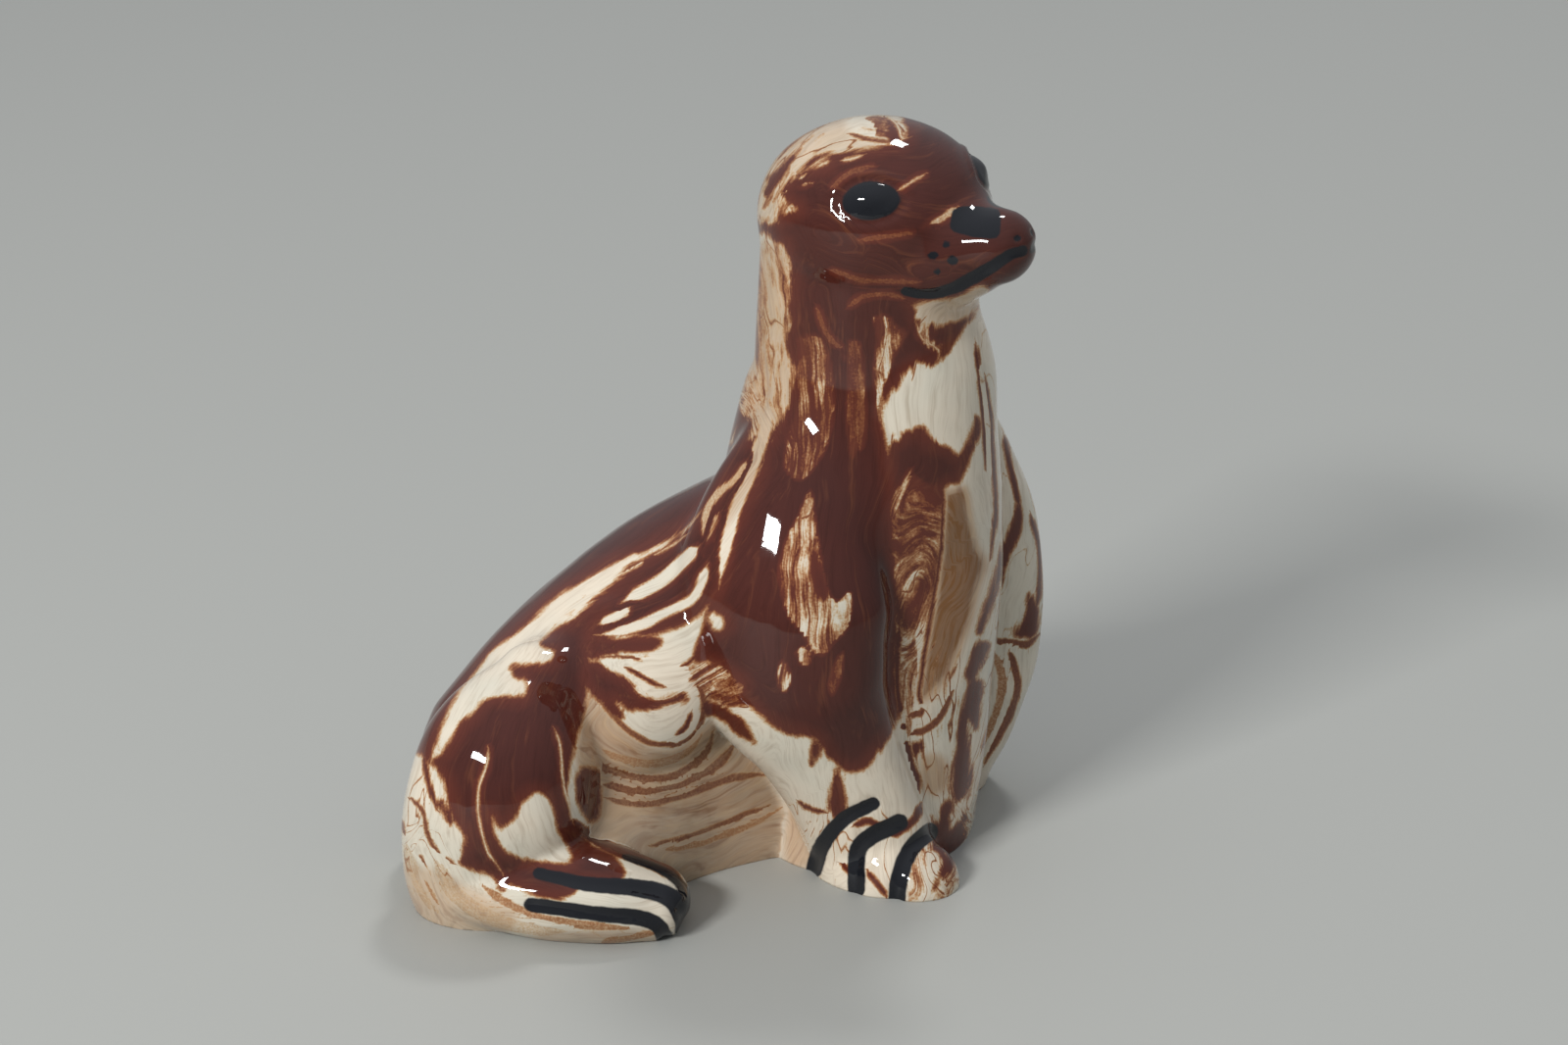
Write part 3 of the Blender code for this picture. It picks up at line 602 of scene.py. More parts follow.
WHISKER_DOTS = [
    (4.0, 4.0, HEAD_FORMS, [(965, 249), (965.5, 249)]),
    (4.8, 4.8, HEAD_FORMS, [(971, 265), (973, 266)]),
    (4.0, 4.0, HEAD_FORMS, [(950, 261), (954, 261)]),
    (3.5, 3.5, HEAD_FORMS, [(956, 277), (956.5, 277)]),
]
EYE_PAINT_LENGTH = 6.7
EYE_PAINT_HEIGHT = 4.5
EYE_CORNER = 1.75
EYE_PIXELS = 19.0
BLACK_PAINT = (0.009, 0.010, 0.013)
NOSE_PATCH = [(972, 214), (985, 210), (1005, 211), (1019, 214), (1021, 228), (1018, 242),
              (1000, 243), (985, 240), (970, 233)]


def head_axes():
    """The head's own axes as rows: forward along the snout, to the seal's left, and up."""
    turn = Matrix.Rotation(math.radians(HEAD_TURN), 3, 'Z')
    rise = Matrix.Rotation(math.radians(-HEAD_RISE), 3, 'Y')
    return np.array(turn @ rise).T


def from_head(points):
    """Places from the head's own axes, in the figure's: centre plus each axis times its part."""
    return np.asarray(points) @ head_axes() + np.array(HEAD_CENTRE)


def to_head(points):
    """Places in the figure's axes, read along the head's own."""
    return (points - np.array(HEAD_CENTRE)) @ head_axes().T


def head_rows(rows):
    """Head rows as rows of the whole figure, all with the head's heading."""
    rows = np.asarray(rows, float)
    places = from_head(np.stack([rows[:, 0], np.zeros(len(rows)), rows[:, 1]], axis=1))
    heading = np.full((len(rows), 1), HEAD_TURN)
    return np.hstack([places, rows[:, 2:4], heading])


def smooth_path(rows, count):
    """A Catmull-Rom curve through the rows, with count rows to a span."""
    rows = np.asarray(rows, float)
    rows = np.vstack([2 * rows[0] - rows[1], rows, 2 * rows[-1] - rows[-2]])
    t = np.linspace(0.0, 1.0, count, endpoint=False)[:, None]
    spans = [0.5 * (2 * b + (c - a) * t + (2 * a - 5 * b + 4 * c - d) * t ** 2
                    + (3 * b - a - 3 * c + d) * t ** 3)
             for a, b, c, d in zip(rows, rows[1:], rows[2:], rows[3:])]
    return np.vstack(spans + [rows[-2:-1]])


def ring_frames(rows):
    """Centres of the rows' ellipses, their directions along, across and deep, and half sizes.

    Along is the path's direction, across is square to it on the heading's side, and deep is the
    third direction.
    """
    rows = smooth_path(rows, RINGS_PER_SPAN)
    centres = rows[:, :3]
    along = np.gradient(centres, axis=0)
    along /= np.linalg.norm(along, axis=1)[:, None]
    heading = np.radians(rows[:, 5])
    across = np.stack([-np.sin(heading), np.cos(heading), np.zeros_like(heading)], axis=1)
    across -= along * np.sum(across * along, axis=1)[:, None]
    across /= np.linalg.norm(across, axis=1)[:, None]
    return centres, along, across, np.cross(along, across), rows[:, 3], rows[:, 4]


def loft(rows, inset=0.0):
    """A closed tube: centre + across * half width * cos(a) + deep * half depth * sin(a).

    At each end the ring shrinks as a cosine while it moves out as a sine, which rounds the end.
    """
    centres, along, across, deep, widths, depths = ring_frames(rows)
    widths = widths - inset
    depths = depths - inset
    angle = np.linspace(0.0, 2 * math.pi, RING_POINTS, endpoint=False)
    rings = (centres[:, None] + across[:, None] * (widths[:, None] * np.cos(angle))[..., None]
             + deep[:, None] * (depths[:, None] * np.sin(angle))[..., None])
    bulge = np.minimum(widths, depths)
    turns = np.linspace(0.0, 0.49 * math.pi, END_TURNS)[1:, None, None]
    ends = [centres[e] + (rings[e] - centres[e]) * np.cos(turns)
            + way * along[e] * bulge[e] * np.sin(turns) for e, way in ((0, -1), (-1, 1))]
    return grid_surface(np.concatenate([ends[0][::-1], rings, ends[1]]))


def ball(half_sizes, centre, axes):
    """A stretched ball: centre + axes * half sizes * (cos t, sin t cos a, sin t sin a)."""
    t = np.linspace(0.01, math.pi - 0.01, RING_POINTS)[:, None]
    a = np.linspace(0.0, 2 * math.pi, RING_POINTS, endpoint=False)[None, :]
    unit = np.stack([np.cos(t) + 0 * a, np.sin(t) * np.cos(a), np.sin(t) * np.sin(a)], axis=-1)
    return grid_surface((unit * np.asarray(half_sizes)) @ axes + np.asarray(centre))


def grid_surface(rings):
    """Points and faces of a stack of closed rings, with a flat face over each end."""
    count, around = rings.shape[:2]
    index = np.arange(count * around).reshape(count, around)
    beside = np.roll(index, -1, axis=1)
    quads = np.stack([index[:-1], beside[:-1], beside[1:], index[1:]], axis=-1).reshape(-1, 4)
    faces = quads.tolist() + [index[0][::-1].tolist(), index[-1].tolist()]
    return rings.reshape(-1, 3), faces


def joined_mesh(name, surfaces):
    """One mesh, in metres, of several closed surfaces that overlap."""
    points, faces, start = [], [], 0
    for places, polygons in surfaces:
        points.append(places)
        faces += [[start + corner for corner in polygon] for polygon in polygons]
        start += len(places)
    mesh = bpy.data.meshes.new(name)
    mesh.from_pydata((np.vstack(points) * MM).tolist(), [], faces)
    mesh.update()
    return mesh


def new_object(name, mesh):
    thing = bpy.data.objects.new(name, mesh)
    bpy.context.scene.collection.objects.link(thing)
    return thing


def keep_evaluated_mesh(thing):
    """Make the evaluated mesh the object's own, and drop its modifiers."""
    depsgraph = bpy.context.evaluated_depsgraph_get()
    finished = bpy.data.meshes.new_from_object(thing.evaluated_get(depsgraph))
    thing.modifiers.clear()
    thing.data = finished


def outer_forms():
    """Every row table of the figure by the name of its form."""
    return {"chest": CHEST, "back": BACK, "belly": BELLY, "near arm": NEAR_ARM,
            "far arm": FAR_ARM, "near foot": NEAR_FOOT, "far foot": FAR_FOOT,
            "near fold": NEAR_FOLD, "far fold": FAR_FOLD, "near thigh": NEAR_THIGH,
            "far thigh": FAR_THIGH, "near hind": NEAR_HIND_FLIPPER,
            "far hind": FAR_HIND_FLIPPER, "snout": head_rows(SNOUT), "jaw": head_rows(JAW)}


def eye_frame(side):
    """Centre, in the figure's axes, and axes of an eye: out, along its length, and up."""
    azimuth = math.radians(side * EYE_AZIMUTHS[side])
    elevation = math.radians(EYE_ELEVATION)
    out = np.array([math.cos(azimuth) * math.cos(elevation),
                    math.sin(azimuth) * math.cos(elevation), math.sin(elevation)])
    reach = 1.0 / math.sqrt(np.sum((out / np.array(SKULL)) ** 2))
    length = np.cross((0.0, 0.0, 1.0), out)
    length /= np.linalg.norm(length)
    axes = np.stack([out, length, np.cross(out, length)]) @ head_axes()
    centre = from_head(out * (reach - EYE_HALF_HEIGHT + EYE_STANDS_PROUD))
    return centre, axes


def melted(name, surfaces, grain, passes):
    """One smooth skin round overlapping surfaces: a voxel remesh, then passes of smoothing."""
    skin = new_object(name, joined_mesh(name, surfaces))
    fuse = skin.modifiers.new("fuse", 'REMESH')
    fuse.mode = 'VOXEL'
    fuse.voxel_size = grain * MM
    soften = skin.modifiers.new("soften", 'SMOOTH')
    soften.factor = 0.5
    soften.iterations = passes
    keep_evaluated_mesh(skin)
    return skin


def block(name, corner_low, corner_high):
    """A plain block between two corners, as a stack of two square rings."""
    low, high = np.asarray(corner_low, float), np.asarray(corner_high, float)
    square = np.array([(0, 0), (1, 0), (1, 1), (0, 1)], float)
    rings = np.array([[(*(low[:2] + s * (high - low)[:2]), z) for s in square]
                      for z in (low[2], high[2])])
    return new_object(name, joined_mesh(name, [grid_surface(rings)]))


def pour_hole_cutter():
    """An upright round rod: radius * (cos a, sin a), from well under the base to above it."""
    a = np.linspace(0.0, 2 * math.pi, RING_POINTS, endpoint=False)
    ring = np.stack([POUR_HOLE_PLACE[0] + POUR_HOLE_RADIUS * np.cos(a),
                     POUR_HOLE_PLACE[1] + POUR_HOLE_RADIUS * np.sin(a)], axis=1)
    heights = np.array([-2.0, 2.0]) * BASE_THICKNESS
    rings = np.array([np.column_stack([ring, np.full(RING_POINTS, z)]) for z in heights])
    return new_object("pour hole cutter", joined_mesh("pour hole cutter", [grid_surface(rings)]))


def cut_away(thing, cutters):
    """Take closed cutters from a closed thing, and remove them."""
    for cutter in cutters:
        cut = thing.modifiers.new(cutter.name, 'BOOLEAN')
        cut.operation = 'DIFFERENCE'
        cut.object = cutter
        cut.material_mode = 'TRANSFER'
    keep_evaluated_mesh(thing)
    for cutter in cutters:
        bpy.data.objects.remove(cutter)


def get_points(mesh):
    places = np.empty(len(mesh.vertices) * 3, np.float32)
    mesh.vertices.foreach_get("co", places)
    return places.reshape(-1, 3).astype(float)


def set_points(mesh, places):
    mesh.vertices.foreach_set("co", np.ascontiguousarray(places, np.float32).ravel())
    mesh.update()


def get_normals(mesh):
    normals = np.empty(len(mesh.vertices) * 3, np.float32)
    mesh.vertex_normals.foreach_get("vector", normals)
    return normals.reshape(-1, 3).astype(float)


def make_seal(glazed, bare):
    """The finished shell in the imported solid's place, and how far it slid there."""
    forms = [loft(rows) for rows in outer_forms().values()]
    skull = ball(SKULL, HEAD_CENTRE, head_axes())
    eyes = [ball((EYE_HALF_HEIGHT, EYE_HALF_LENGTH, EYE_HALF_HEIGHT), *eye_frame(side))
            for side in (NEAR, FAR)]
    seal = melted("glazed_seal", forms + [skull] + eyes, GRAIN, SMOOTHING_PASSES)
    points = get_points(seal.data) / MM
    softness = sum(np.exp(-np.sum((points - join[:3]) ** 2, axis=1) / (0.5 * join[3]) ** 2)
                   for join in map(np.array, SOFT_JOINS))
    relax(seal.data, np.clip(SOFT_STRENGTH * softness, 0.0, 1.0), SOFT_PASSES)
    shift = slide_to_place(get_points(seal.data))
    carve(seal.data, shift)
    drained = [loft(rows, WALL) for rows in
               (CHEST, BACK, BELLY, NEAR_ARM, FAR_ARM, NEAR_THIGH, FAR_THIGH, head_rows(SNOUT))]
    inner_skull = ball(np.array(SKULL) - WALL, HEAD_CENTRE, head_axes())
    core = melted("core", drained + [inner_skull], CORE_GRAIN, CORE_SMOOTHING_PASSES)
    wide = TABLE_HALF_WIDTH
    table = block("table", (-wide, -wide, -wide), (wide, wide, 0.0))
    inner_floor = block("inner floor", (-wide, -wide, -wide), (wide, wide, BASE_THICKNESS))
    cut_away(core, [inner_floor])
    hole = pour_hole_cutter()
    seal.data.materials.append(glazed)
    for cutter in (core, table, hole):
        cutter.data.materials.append(bare)
    cut_away(seal, [table, core, hole])
    set_points(seal.data, get_points(seal.data) + shift * MM)
    seal.data.shade_smooth()
    return seal, shift


def slide_to_place(places):
    """The level slide, in millimetres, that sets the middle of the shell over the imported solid's.

    Only places above the table count.
    """
    low, high = (np.array(corner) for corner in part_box("seal_figurine"))
    above = places[places[:, 2] > 0.0]
    shift = (low + high) / 2 - (above.min(axis=0) + above.max(axis=0)) / 2
    shift[2] = 0.0
    return shift / MM


def carve(mesh, shift):
    """Sink the mouth, nostrils, toes and lids into the skin, raise the brows, ripple the glaze.

    A groove is its depth times a hump of the distance from a stroke's middle. The ripple is a
    product of sines of the place, which keeps the gloss from being perfectly even.
    """
    points = get_points(mesh) / MM
    form_of = nearest_form(points)
    pixels, form_of = twin_pixels(points, form_of, shift)
    normals = get_normals(mesh)
    height = np.zeros(len(points))
    for strokes, (depth, spread) in ((MOUTH_STROKES, MOUTH_GROOVE), ([NOSTRIL], NOSTRIL_GROOVE),
                                     (CLAW_STROKES[:5], TOE_GROOVE)):
        groove = np.zeros(len(points))
        for _, _, forms, path in strokes:
            near = np.flatnonzero(close_to(pixels, path) & on_forms(form_of, forms))
            distance = path_measure(pixels[near], curved(path))[0]
            groove[near] = np.maximum(groove[near], hump(distance, 0.0, spread))
        height -= depth * groove
    for side in (NEAR, FAR):
        radius, up = eye_shape(points, side)
        height -= LID_DEPTH * hump(radius, *LID_RING)
        height += BROW_HEIGHT * hump(radius, *BROW_RING) * step(up, 0.0, 0.8)
    x, y, z = points.T
    height += GLAZE_RIPPLE * (np.sin(x / 2.9 + np.sin(z / 5.3)) * np.sin(y / 3.3 + np.sin(x / 4.7))
                              + np.sin(z / 3.7 + np.sin(y / 6.1)))
    set_points(mesh, (points + normals * height[:, None]) * MM)


def hump(value, middle, width):
    """A smooth rise to 1 at the middle: exp(-((value - middle) / width)^2)."""
    return np.exp(-((value - middle) / width) ** 2)


def relax(mesh, weight, passes):
    """Smooth where weight is up.

    Each pass moves a point SOFT_SHARE times its weight of the way to its neighbours' mean.
    """
    edges = np.empty(len(mesh.edges) * 2, np.int32)
    mesh.edges.foreach_get("vertices", edges)
    first, second = edges[::2], edges[1::2]
    moving = weight > 0.001
    touched = moving[first] | moving[second]
    first, second = first[touched], second[touched]
    places = get_points(mesh)
    count = len(places)
    valence = np.bincount(first, minlength=count) + np.bincount(second, minlength=count)
    valence = np.maximum(valence, 1)
    share = (SOFT_SHARE * weight)[:, None]
    for _ in range(passes):
        total = np.stack([np.bincount(first, places[second, k], count)
                          + np.bincount(second, places[first, k], count) for k in range(3)], axis=1)
        places += share * moving[:, None] * (total / valence[:, None] - places)
    set_points(mesh, places)


def step(value, low, high):
    """0 below low and 1 above high, eased between: 3 t^2 - 2 t^3."""
    t = np.clip((value - low) / (high - low), 0.0, 1.0)
    return t * t * (3.0 - 2.0 * t)


def form_levels(points):
    """How far inside each form the points lie: 1 on its skin, less inside.

    For a tube it is the smallest, over its rings, of the length of (across / half width,
    deep / half depth, along / smaller half size).
    """
    levels = {}
    for name, rows in outer_forms().items():
        centres, along, across, deep, widths, depths = ring_frames(rows)
        best = np.full(len(points), np.inf)
        for ring in range(len(centres)):
            out = points - centres[ring]
            level = ((out @ across[ring] / widths[ring]) ** 2
                     + (out @ deep[ring] / depths[ring]) ** 2
                     + (out @ along[ring] / min(widths[ring], depths[ring])) ** 2)
            best = np.minimum(best, level)
        levels[name] = np.sqrt(best)
    levels["skull"] = np.linalg.norm(to_head(points) / np.array(SKULL), axis=1)
    return levels


def nearest_form(points):
    """The name of the form that each point lies on."""
    levels = form_levels(points)
    return np.array(list(levels))[np.argmin(np.stack(list(levels.values())), axis=0)]


def as_near_limb(points, far_rows, near_rows):
    """Where the near limb has what a far limb has at these points.

    A point is measured from the far limb's tip, along the limb and out to the seal's left, and
    laid off from the near limb's tip, along it and out to the right.
    """
    far_rows, near_rows = np.asarray(far_rows), np.asarray(near_rows)
    way = far_rows[-1, :2] - far_rows[0, :2]
    way /= np.linalg.norm(way)
    near_way = near_rows[-1, :2] - near_rows[0, :2]
    near_way /= np.linalg.norm(near_way)
    out = points[:, :2] - far_rows[-1, :2]
    along = (out @ way)[:, None] * near_way
    beside = (out @ np.array([-way[1], way[0]]))[:, None] * np.array([near_way[1], -near_way[0]])
    return np.column_stack([near_rows[-1, :2] + along + beside, points[:, 2]])


def twin_pixels(points, form_of, shift):
    """Pixel places for paint and carving, where the hidden side repeats the side in view.

    The head's left half reads its mirror place, and the far feet read the near ones.
    """
    form_of = form_of.copy()
    read = points.copy()
    head = np.isin(form_of, HEAD_FORMS)
    mirrored = to_head(points[head])
    mirrored[:, 1] = -np.abs(mirrored[:, 1])
    read[head] = from_head(mirrored)
    for name, twin, rows, near_rows in (("far foot", "near foot", FAR_FOOT, NEAR_FOOT),
                                        ("far hind", "near hind", FAR_HIND_FLIPPER,
                                         NEAR_HIND_FLIPPER)):
        limb = form_of == name
        read[limb] = as_near_limb(points[limb], rows, near_rows)
        form_of[limb] = twin
    return in_frame((read + shift) * MM)[0], form_of


def in_frame(places):
    """Pixel places of points in metres, through the fixed camera, and their distance from it."""
    turn = Matrix.Rotation(math.radians(CAMERA_TURN), 3, 'Z')
    pitch = Matrix.Rotation(math.radians(90.0 - CAMERA_PITCH), 3, 'X')
    seen = (places - np.array(CAMERA_PLACE)) @ np.array(turn @ pitch)
    far = -seen[:, 2]
    pixels = np.stack([IMAGE_MIDDLE[0] + FOCAL_PIXELS * seen[:, 0] / far,
                       IMAGE_MIDDLE[1] - FOCAL_PIXELS * seen[:, 1] / far], axis=1)
    return pixels, far


def path_measure(pixels, path, halves=(0.0, 0.0)):
    """Distance from a broken line less its half width, signed offset from it, and way along it.

    On each segment the nearest point is start + clamp(t) * run, and the nearest segment counts.
    """
    path = np.asarray(path, float)
    lengths = np.linalg.norm(np.diff(path, axis=0), axis=1)
    ways = np.concatenate([[0.0], np.cumsum(lengths)])
    edge = np.full(len(pixels), np.inf)
    offset = np.zeros(len(pixels))
    way = np.zeros(len(pixels))
    for start, end, length, before in zip(path, path[1:], lengths, ways):
        run = (end - start) / length
        out = pixels - start
        t = np.clip(out @ run, 0.0, length)
        gap = out - t[:, None] * run
        distance = np.linalg.norm(gap, axis=1)
        half = halves[0] + (halves[1] - halves[0]) * (before + t) / ways[-1]
        closer = distance - half < edge
        side = np.sign(out[:, 1] * run[0] - out[:, 0] * run[1])
        edge = np.where(closer, distance - half, edge)
        offset = np.where(closer, -side * distance, offset)
        way = np.where(closer, before + t, way)
    return edge, offset, way


def curved(path, count=4):
    """A Catmull-Rom curve through pixel points."""
    return smooth_path(np.asarray(path, float), count)


def close_to(pixels, path):
    """Which pixel places lie in a path's box, widened by REACH."""
    path = np.asarray(path, float)
    return np.all((pixels > path.min(axis=0) - REACH) & (pixels < path.max(axis=0) + REACH), axis=1)


def area_depth(pixels, outline):
    """How deep inside a closed outline each pixel place lies, within REACH, and below 0 outside."""
    closed = curved(list(outline) + [outline[0]], 3)
    near = close_to(pixels, closed)
    some = pixels[near]
    edge = path_measure(some, closed)[0]
    inside = np.zeros(len(some), bool)
    for (x0, y0), (x1, y1) in zip(closed, closed[1:]):
        if y0 != y1:
            crossed = (y0 > some[:, 1]) != (y1 > some[:, 1])
            at = x0 + (some[:, 1] - y0) / (y1 - y0) * (x1 - x0)
            inside ^= crossed & (some[:, 0] < at)
    depth = np.full(len(pixels), -REACH)
    depth[near] = np.clip(np.where(inside, edge, -edge), -REACH, REACH)
    return depth


def on_forms(form_of, forms):
    """Which points lie on one of the named forms, and all of them where forms is None."""
    if forms is None:
        return np.ones(len(form_of), bool)
    return np.isin(form_of, forms)


def slip_fields(pixels, form_of):
    """The marbling at each point, in pixels of the photograph's frame.

    slip is above 0 on red-brown and below 0 on cream: each area is laid over those before it.
    """
    slip = np.full(len(pixels), -REACH)
    for kind, forms, outline in AREAS:
        depth = area_depth(pixels, outline)
        if kind == BROWN:
            laid = np.maximum(slip, depth)
        elif kind == CREAM:
            laid = np.minimum(slip, -depth)
        else:
            laid = slip + (kind - slip) * step(depth, -3.0, 2.0)
        slip = np.where(on_forms(form_of, forms), laid, slip)
    streaked = np.full(len(pixels), PLAIN_STREAKS)
    for strength, forms, outline in STREAKED:
        laid = strength * step(area_depth(pixels, outline), -8.0, 8.0)
        streaked = np.where(on_forms(form_of, forms), np.maximum(streaked, laid), streaked)
    wash = np.zeros(len(pixels))
    for strength, forms, outline in WASHES:
        depth = area_depth(pixels, outline)
        laid = strength * step(depth, -6.0, 8.0)
        wash = np.where(on_forms(form_of, forms), np.maximum(wash, laid), wash)
    dark = [thread for thread in THREADS if thread[0] not in OVER_BROWN]
    pale = [thread for thread in THREADS if thread[0] in OVER_BROWN]
    return (slip, streaked, wash, thread_field(pixels, form_of, dark),
            thread_field(pixels, form_of, pale))


def thread_field(pixels, form_of, threads):
    """The nearest thread's signed offset, half width and slip at each point.

    The width drops below 0 far from the thread, and where a second thread is as near, so that no
    false line shows where one takes over from the other.
    """
    nearest = np.full(len(pixels), REACH)
    second = np.full(len(pixels), REACH)
    field = np.tile((2 * REACH, 0.0, threads[0][0]), (len(pixels), 1))
    for slip, half, forms, path in threads:
        course = curved(path)
        near = np.flatnonzero(close_to(pixels, course) & on_forms(form_of, forms))
        edge, offset, way = path_measure(pixels[near], course, (half, 0.5 * half))
        length = np.sum(np.linalg.norm(np.diff(course, axis=0), axis=1))
        taper = step(way, -0.5, 0.08 * length) * step(length - way, -0.5, 0.2 * length)
        closer = edge < nearest[near]
        second[near] = np.where(closer, nearest[near], np.minimum(second[near], edge))
        nearest[near[closer]] = edge[closer]
        field[near[closer]] = np.column_stack([offset, half * taper,
                                               np.full(len(near), slip)])[closer]
    keep = step(field[:, 1] + THREAD_REACH - np.abs(field[:, 0]), 0.0, 3.0)
    keep *= step(second - nearest, 0.5, 6.0)
    field[:, 1] = field[:, 1] * keep - THREAD_REACH * (1.0 - keep)
    return field


def flow_field(pixels, far):
    """Way along the flow of slip, place across it, and depth away from the camera, in pixels.

    Each guide gives its own, and they are averaged with weights exp(-(distance / GUIDE_REACH)^2),
    all divided by the nearest guide's.
    """
    total = np.full(len(pixels), 1e-9)
    along = np.zeros(len(pixels))
    across = np.zeros(len(pixels))
    measures = [(base, *path_measure(pixels, curved(path, 3))) for base, path in GUIDES]
    closest = np.min([edge for _, edge, _, _ in measures], axis=0)
    for base, edge, offset, way in measures:
        weight = np.exp((closest ** 2 - edge ** 2) / GUIDE_REACH ** 2)
        total += weight
        along += weight * way
        across += weight * (base + offset)
    depth = (far - far.mean()) * FOCAL_PIXELS / far.mean()
    return np.stack([along / total, across / total, depth], axis=1)


def paint_field(points, form_of, shift):
    """Black paint: above 0 inside a stroke, in pixels from its edge."""
    pixels, form_of = twin_pixels(points, form_of, shift)
    paint = np.full(len(pixels), -REACH)
    for start, end, forms, path in CLAW_STROKES + MOUTH_STROKES + WHISKER_DOTS + [NOSTRIL]:
        near = np.flatnonzero(close_to(pixels, path) & on_forms(form_of, forms))
        edge = path_measure(pixels[near], curved(path), (start, end))[0]
        paint[near] = np.maximum(paint[near], -edge)
    nose = area_depth(pixels, NOSE_PATCH)
    for side in (NEAR, FAR):
        nose = np.maximum(nose, EYE_PIXELS * (1.0 - eye_shape(points, side)[0]))
    return np.where(on_forms(form_of, HEAD_FORMS), np.maximum(paint, nose), paint)


def eye_shape(points, side):
    """How far out from an eye's middle points lie, 1 on the edge of its paint, and how high.

    The outline is (|u|^p + |v|^p)^(1/p) = 1 on shares u forward and v up of the painted half
    sizes. p is 2 behind, a plain oval, and less in front, where the eye comes to a corner.
    """
    centre, axes = eye_frame(side)
    out, length, up = ((points - centre) @ axes.T).T
    forward = -side * length / EYE_PAINT_LENGTH
    up = up / EYE_PAINT_HEIGHT
    power = np.where(forward > 0.0, EYE_CORNER, 2.0)
    radius = (np.abs(forward) ** power + np.abs(up) ** power) ** (1.0 / power)
    return np.where(out > 0.0, radius, 9.0), up


def put_attribute(mesh, name, kind, values):
    attribute = mesh.attributes.new(name, kind, 'POINT')
    field = "vector" if kind == 'FLOAT_VECTOR' else "value"
    attribute.data.foreach_set(field, np.ascontiguousarray(values, np.float32).ravel())


def paint_seal(seal, shift):
    """Lay the marbling and the paint on the shell's points, for the materials to read.

    Points that face away from the camera read the same layout from a place that has slid and
    turned a little, so that the hidden side has its own pattern and still joins at the outline.
    """
    places = get_points(seal.data)
    points = places / MM - shift
    form_of = nearest_form(points)
    pixels, far = in_frame(places)
    to_camera = np.array(CAMERA_PLACE) - places
    to_camera /= np.linalg.norm(to_camera, axis=1)[:, None]
    hidden = step(-np.sum(get_normals(seal.data) * to_camera, axis=1), 0.0, 0.45)
    slide = np.array(SLIDE_REACH) * np.sin(pixels[:, ::-1] / np.array(SLIDE_WAVE))
    slid = pixels + hidden[:, None] * slide
    slip, streaked, wash, brown_thread, cream_thread = slip_fields(slid, form_of)
    put_attribute(seal.data, "slip", 'FLOAT', slip)
    put_attribute(seal.data, "streaked", 'FLOAT', streaked)
    put_attribute(seal.data, "wash", 'FLOAT', wash)
    put_attribute(seal.data, "brown_thread", 'FLOAT_VECTOR', brown_thread)
    put_attribute(seal.data, "cream_thread", 'FLOAT_VECTOR', cream_thread)
    put_attribute(seal.data, "flow", 'FLOAT_VECTOR', flow_field(slid, far))
    put_attribute(seal.data, "paint", 'FLOAT', paint_field(points, form_of, shift))


def link(tree, source, target):
    tree.links.new(source, target)


def add_node(tree, kind, inputs=None, **settings):
    """A shader node with its settings, and its inputs by name or number: sockets or values."""
    node = tree.nodes.new("ShaderNode" + kind)
    for name, value in settings.items():
        setattr(node, name, value)
    for name, value in (inputs or {}).items():
        if isinstance(value, bpy.types.NodeSocket):
            link(tree, value, node.inputs[name])
        else:
            node.inputs[name].default_value = value
    return node


def calc(tree, operation, first, second=0.0, third=0.0):
    """The value of a Math node."""
    node = add_node(tree, "Math", {0: first, 1: second, 2: third}, operation=operation)
    return node.outputs[0]


def ramp(tree, value, stops):
    """The colour of a ColorRamp with (place, colour) stops."""
    node = add_node(tree, "ValToRGB", {0: value})
    points = node.color_ramp.elements
    while len(points) < len(stops):
        points.new(1.0)
    for point, (place, colour) in zip(points, stops):
        point.position = place
        point.color = (*colour, 1.0)
    return node.outputs[0]


def between(tree, factor, first, second):
    """A colour that goes from first to second with factor."""
    node = add_node(tree, "Mix", {0: factor}, data_type='RGBA')
    for name, value in ((6, first), (7, second)):
        if isinstance(value, bpy.types.NodeSocket):
            link(tree, value, node.inputs[name])
        else:
            node.inputs[name].default_value = (*value, 1.0)
    return node.outputs[2]


def line(tree, value, slope, start):
    """start + value * slope."""
    return calc(tree, 'MULTIPLY_ADD', value, slope, start)


def clamped(tree, value, top=1.0):
    """The value held between 0 and top."""
    return add_node(tree, "Clamp", {0: value, 2: top}).outputs[0]


def grains(tree, place, scale, detail):
    """Noise from 0 to 1 with scale grains to the metre."""
    node = add_node(tree, "TexNoise", {"Vector": place, "Scale": scale, "Detail": detail})
    return node.outputs[0]


def streaks(tree, flow, sizes, detail, shift):
    """Noise drawn out along the flow, from -1 to 1: sizes are its grain along, across and deep."""
    stretched = add_node(tree, "Mapping", {0: flow, 1: (shift, shift, shift),
                                           3: tuple(1.0 / size for size in sizes)})
    node = add_node(tree, "TexNoise", {"Vector": stretched.outputs[0], "Scale": 1.0,
                                       "Detail": detail, "Roughness": 0.62, "Distortion": 0.5})
    return line(tree, node.outputs[0], *SIGNED)


def thread_slip(tree, thread, wobble, pull):
    """A thread's depth in pixels times pull, and its slip.

    Its depth is its half width less the size of its offset.
    """
    parts = add_node(tree, "SeparateXYZ", {0: thread}).outputs
    offset = calc(tree, 'ABSOLUTE', calc(tree, 'ADD', parts[0], wobble))
    depth = calc(tree, 'SUBTRACT', parts[1], offset)
    return calc(tree, 'MULTIPLY', depth, pull), parts[2]


def times(tree, colour, shade):
    """One colour multiplied by another."""
    node = add_node(tree, "Mix", {0: 1.0, 6: colour, 7: shade}, data_type='RGBA',
                    blend_type='MULTIPLY')
    return node.outputs[2]


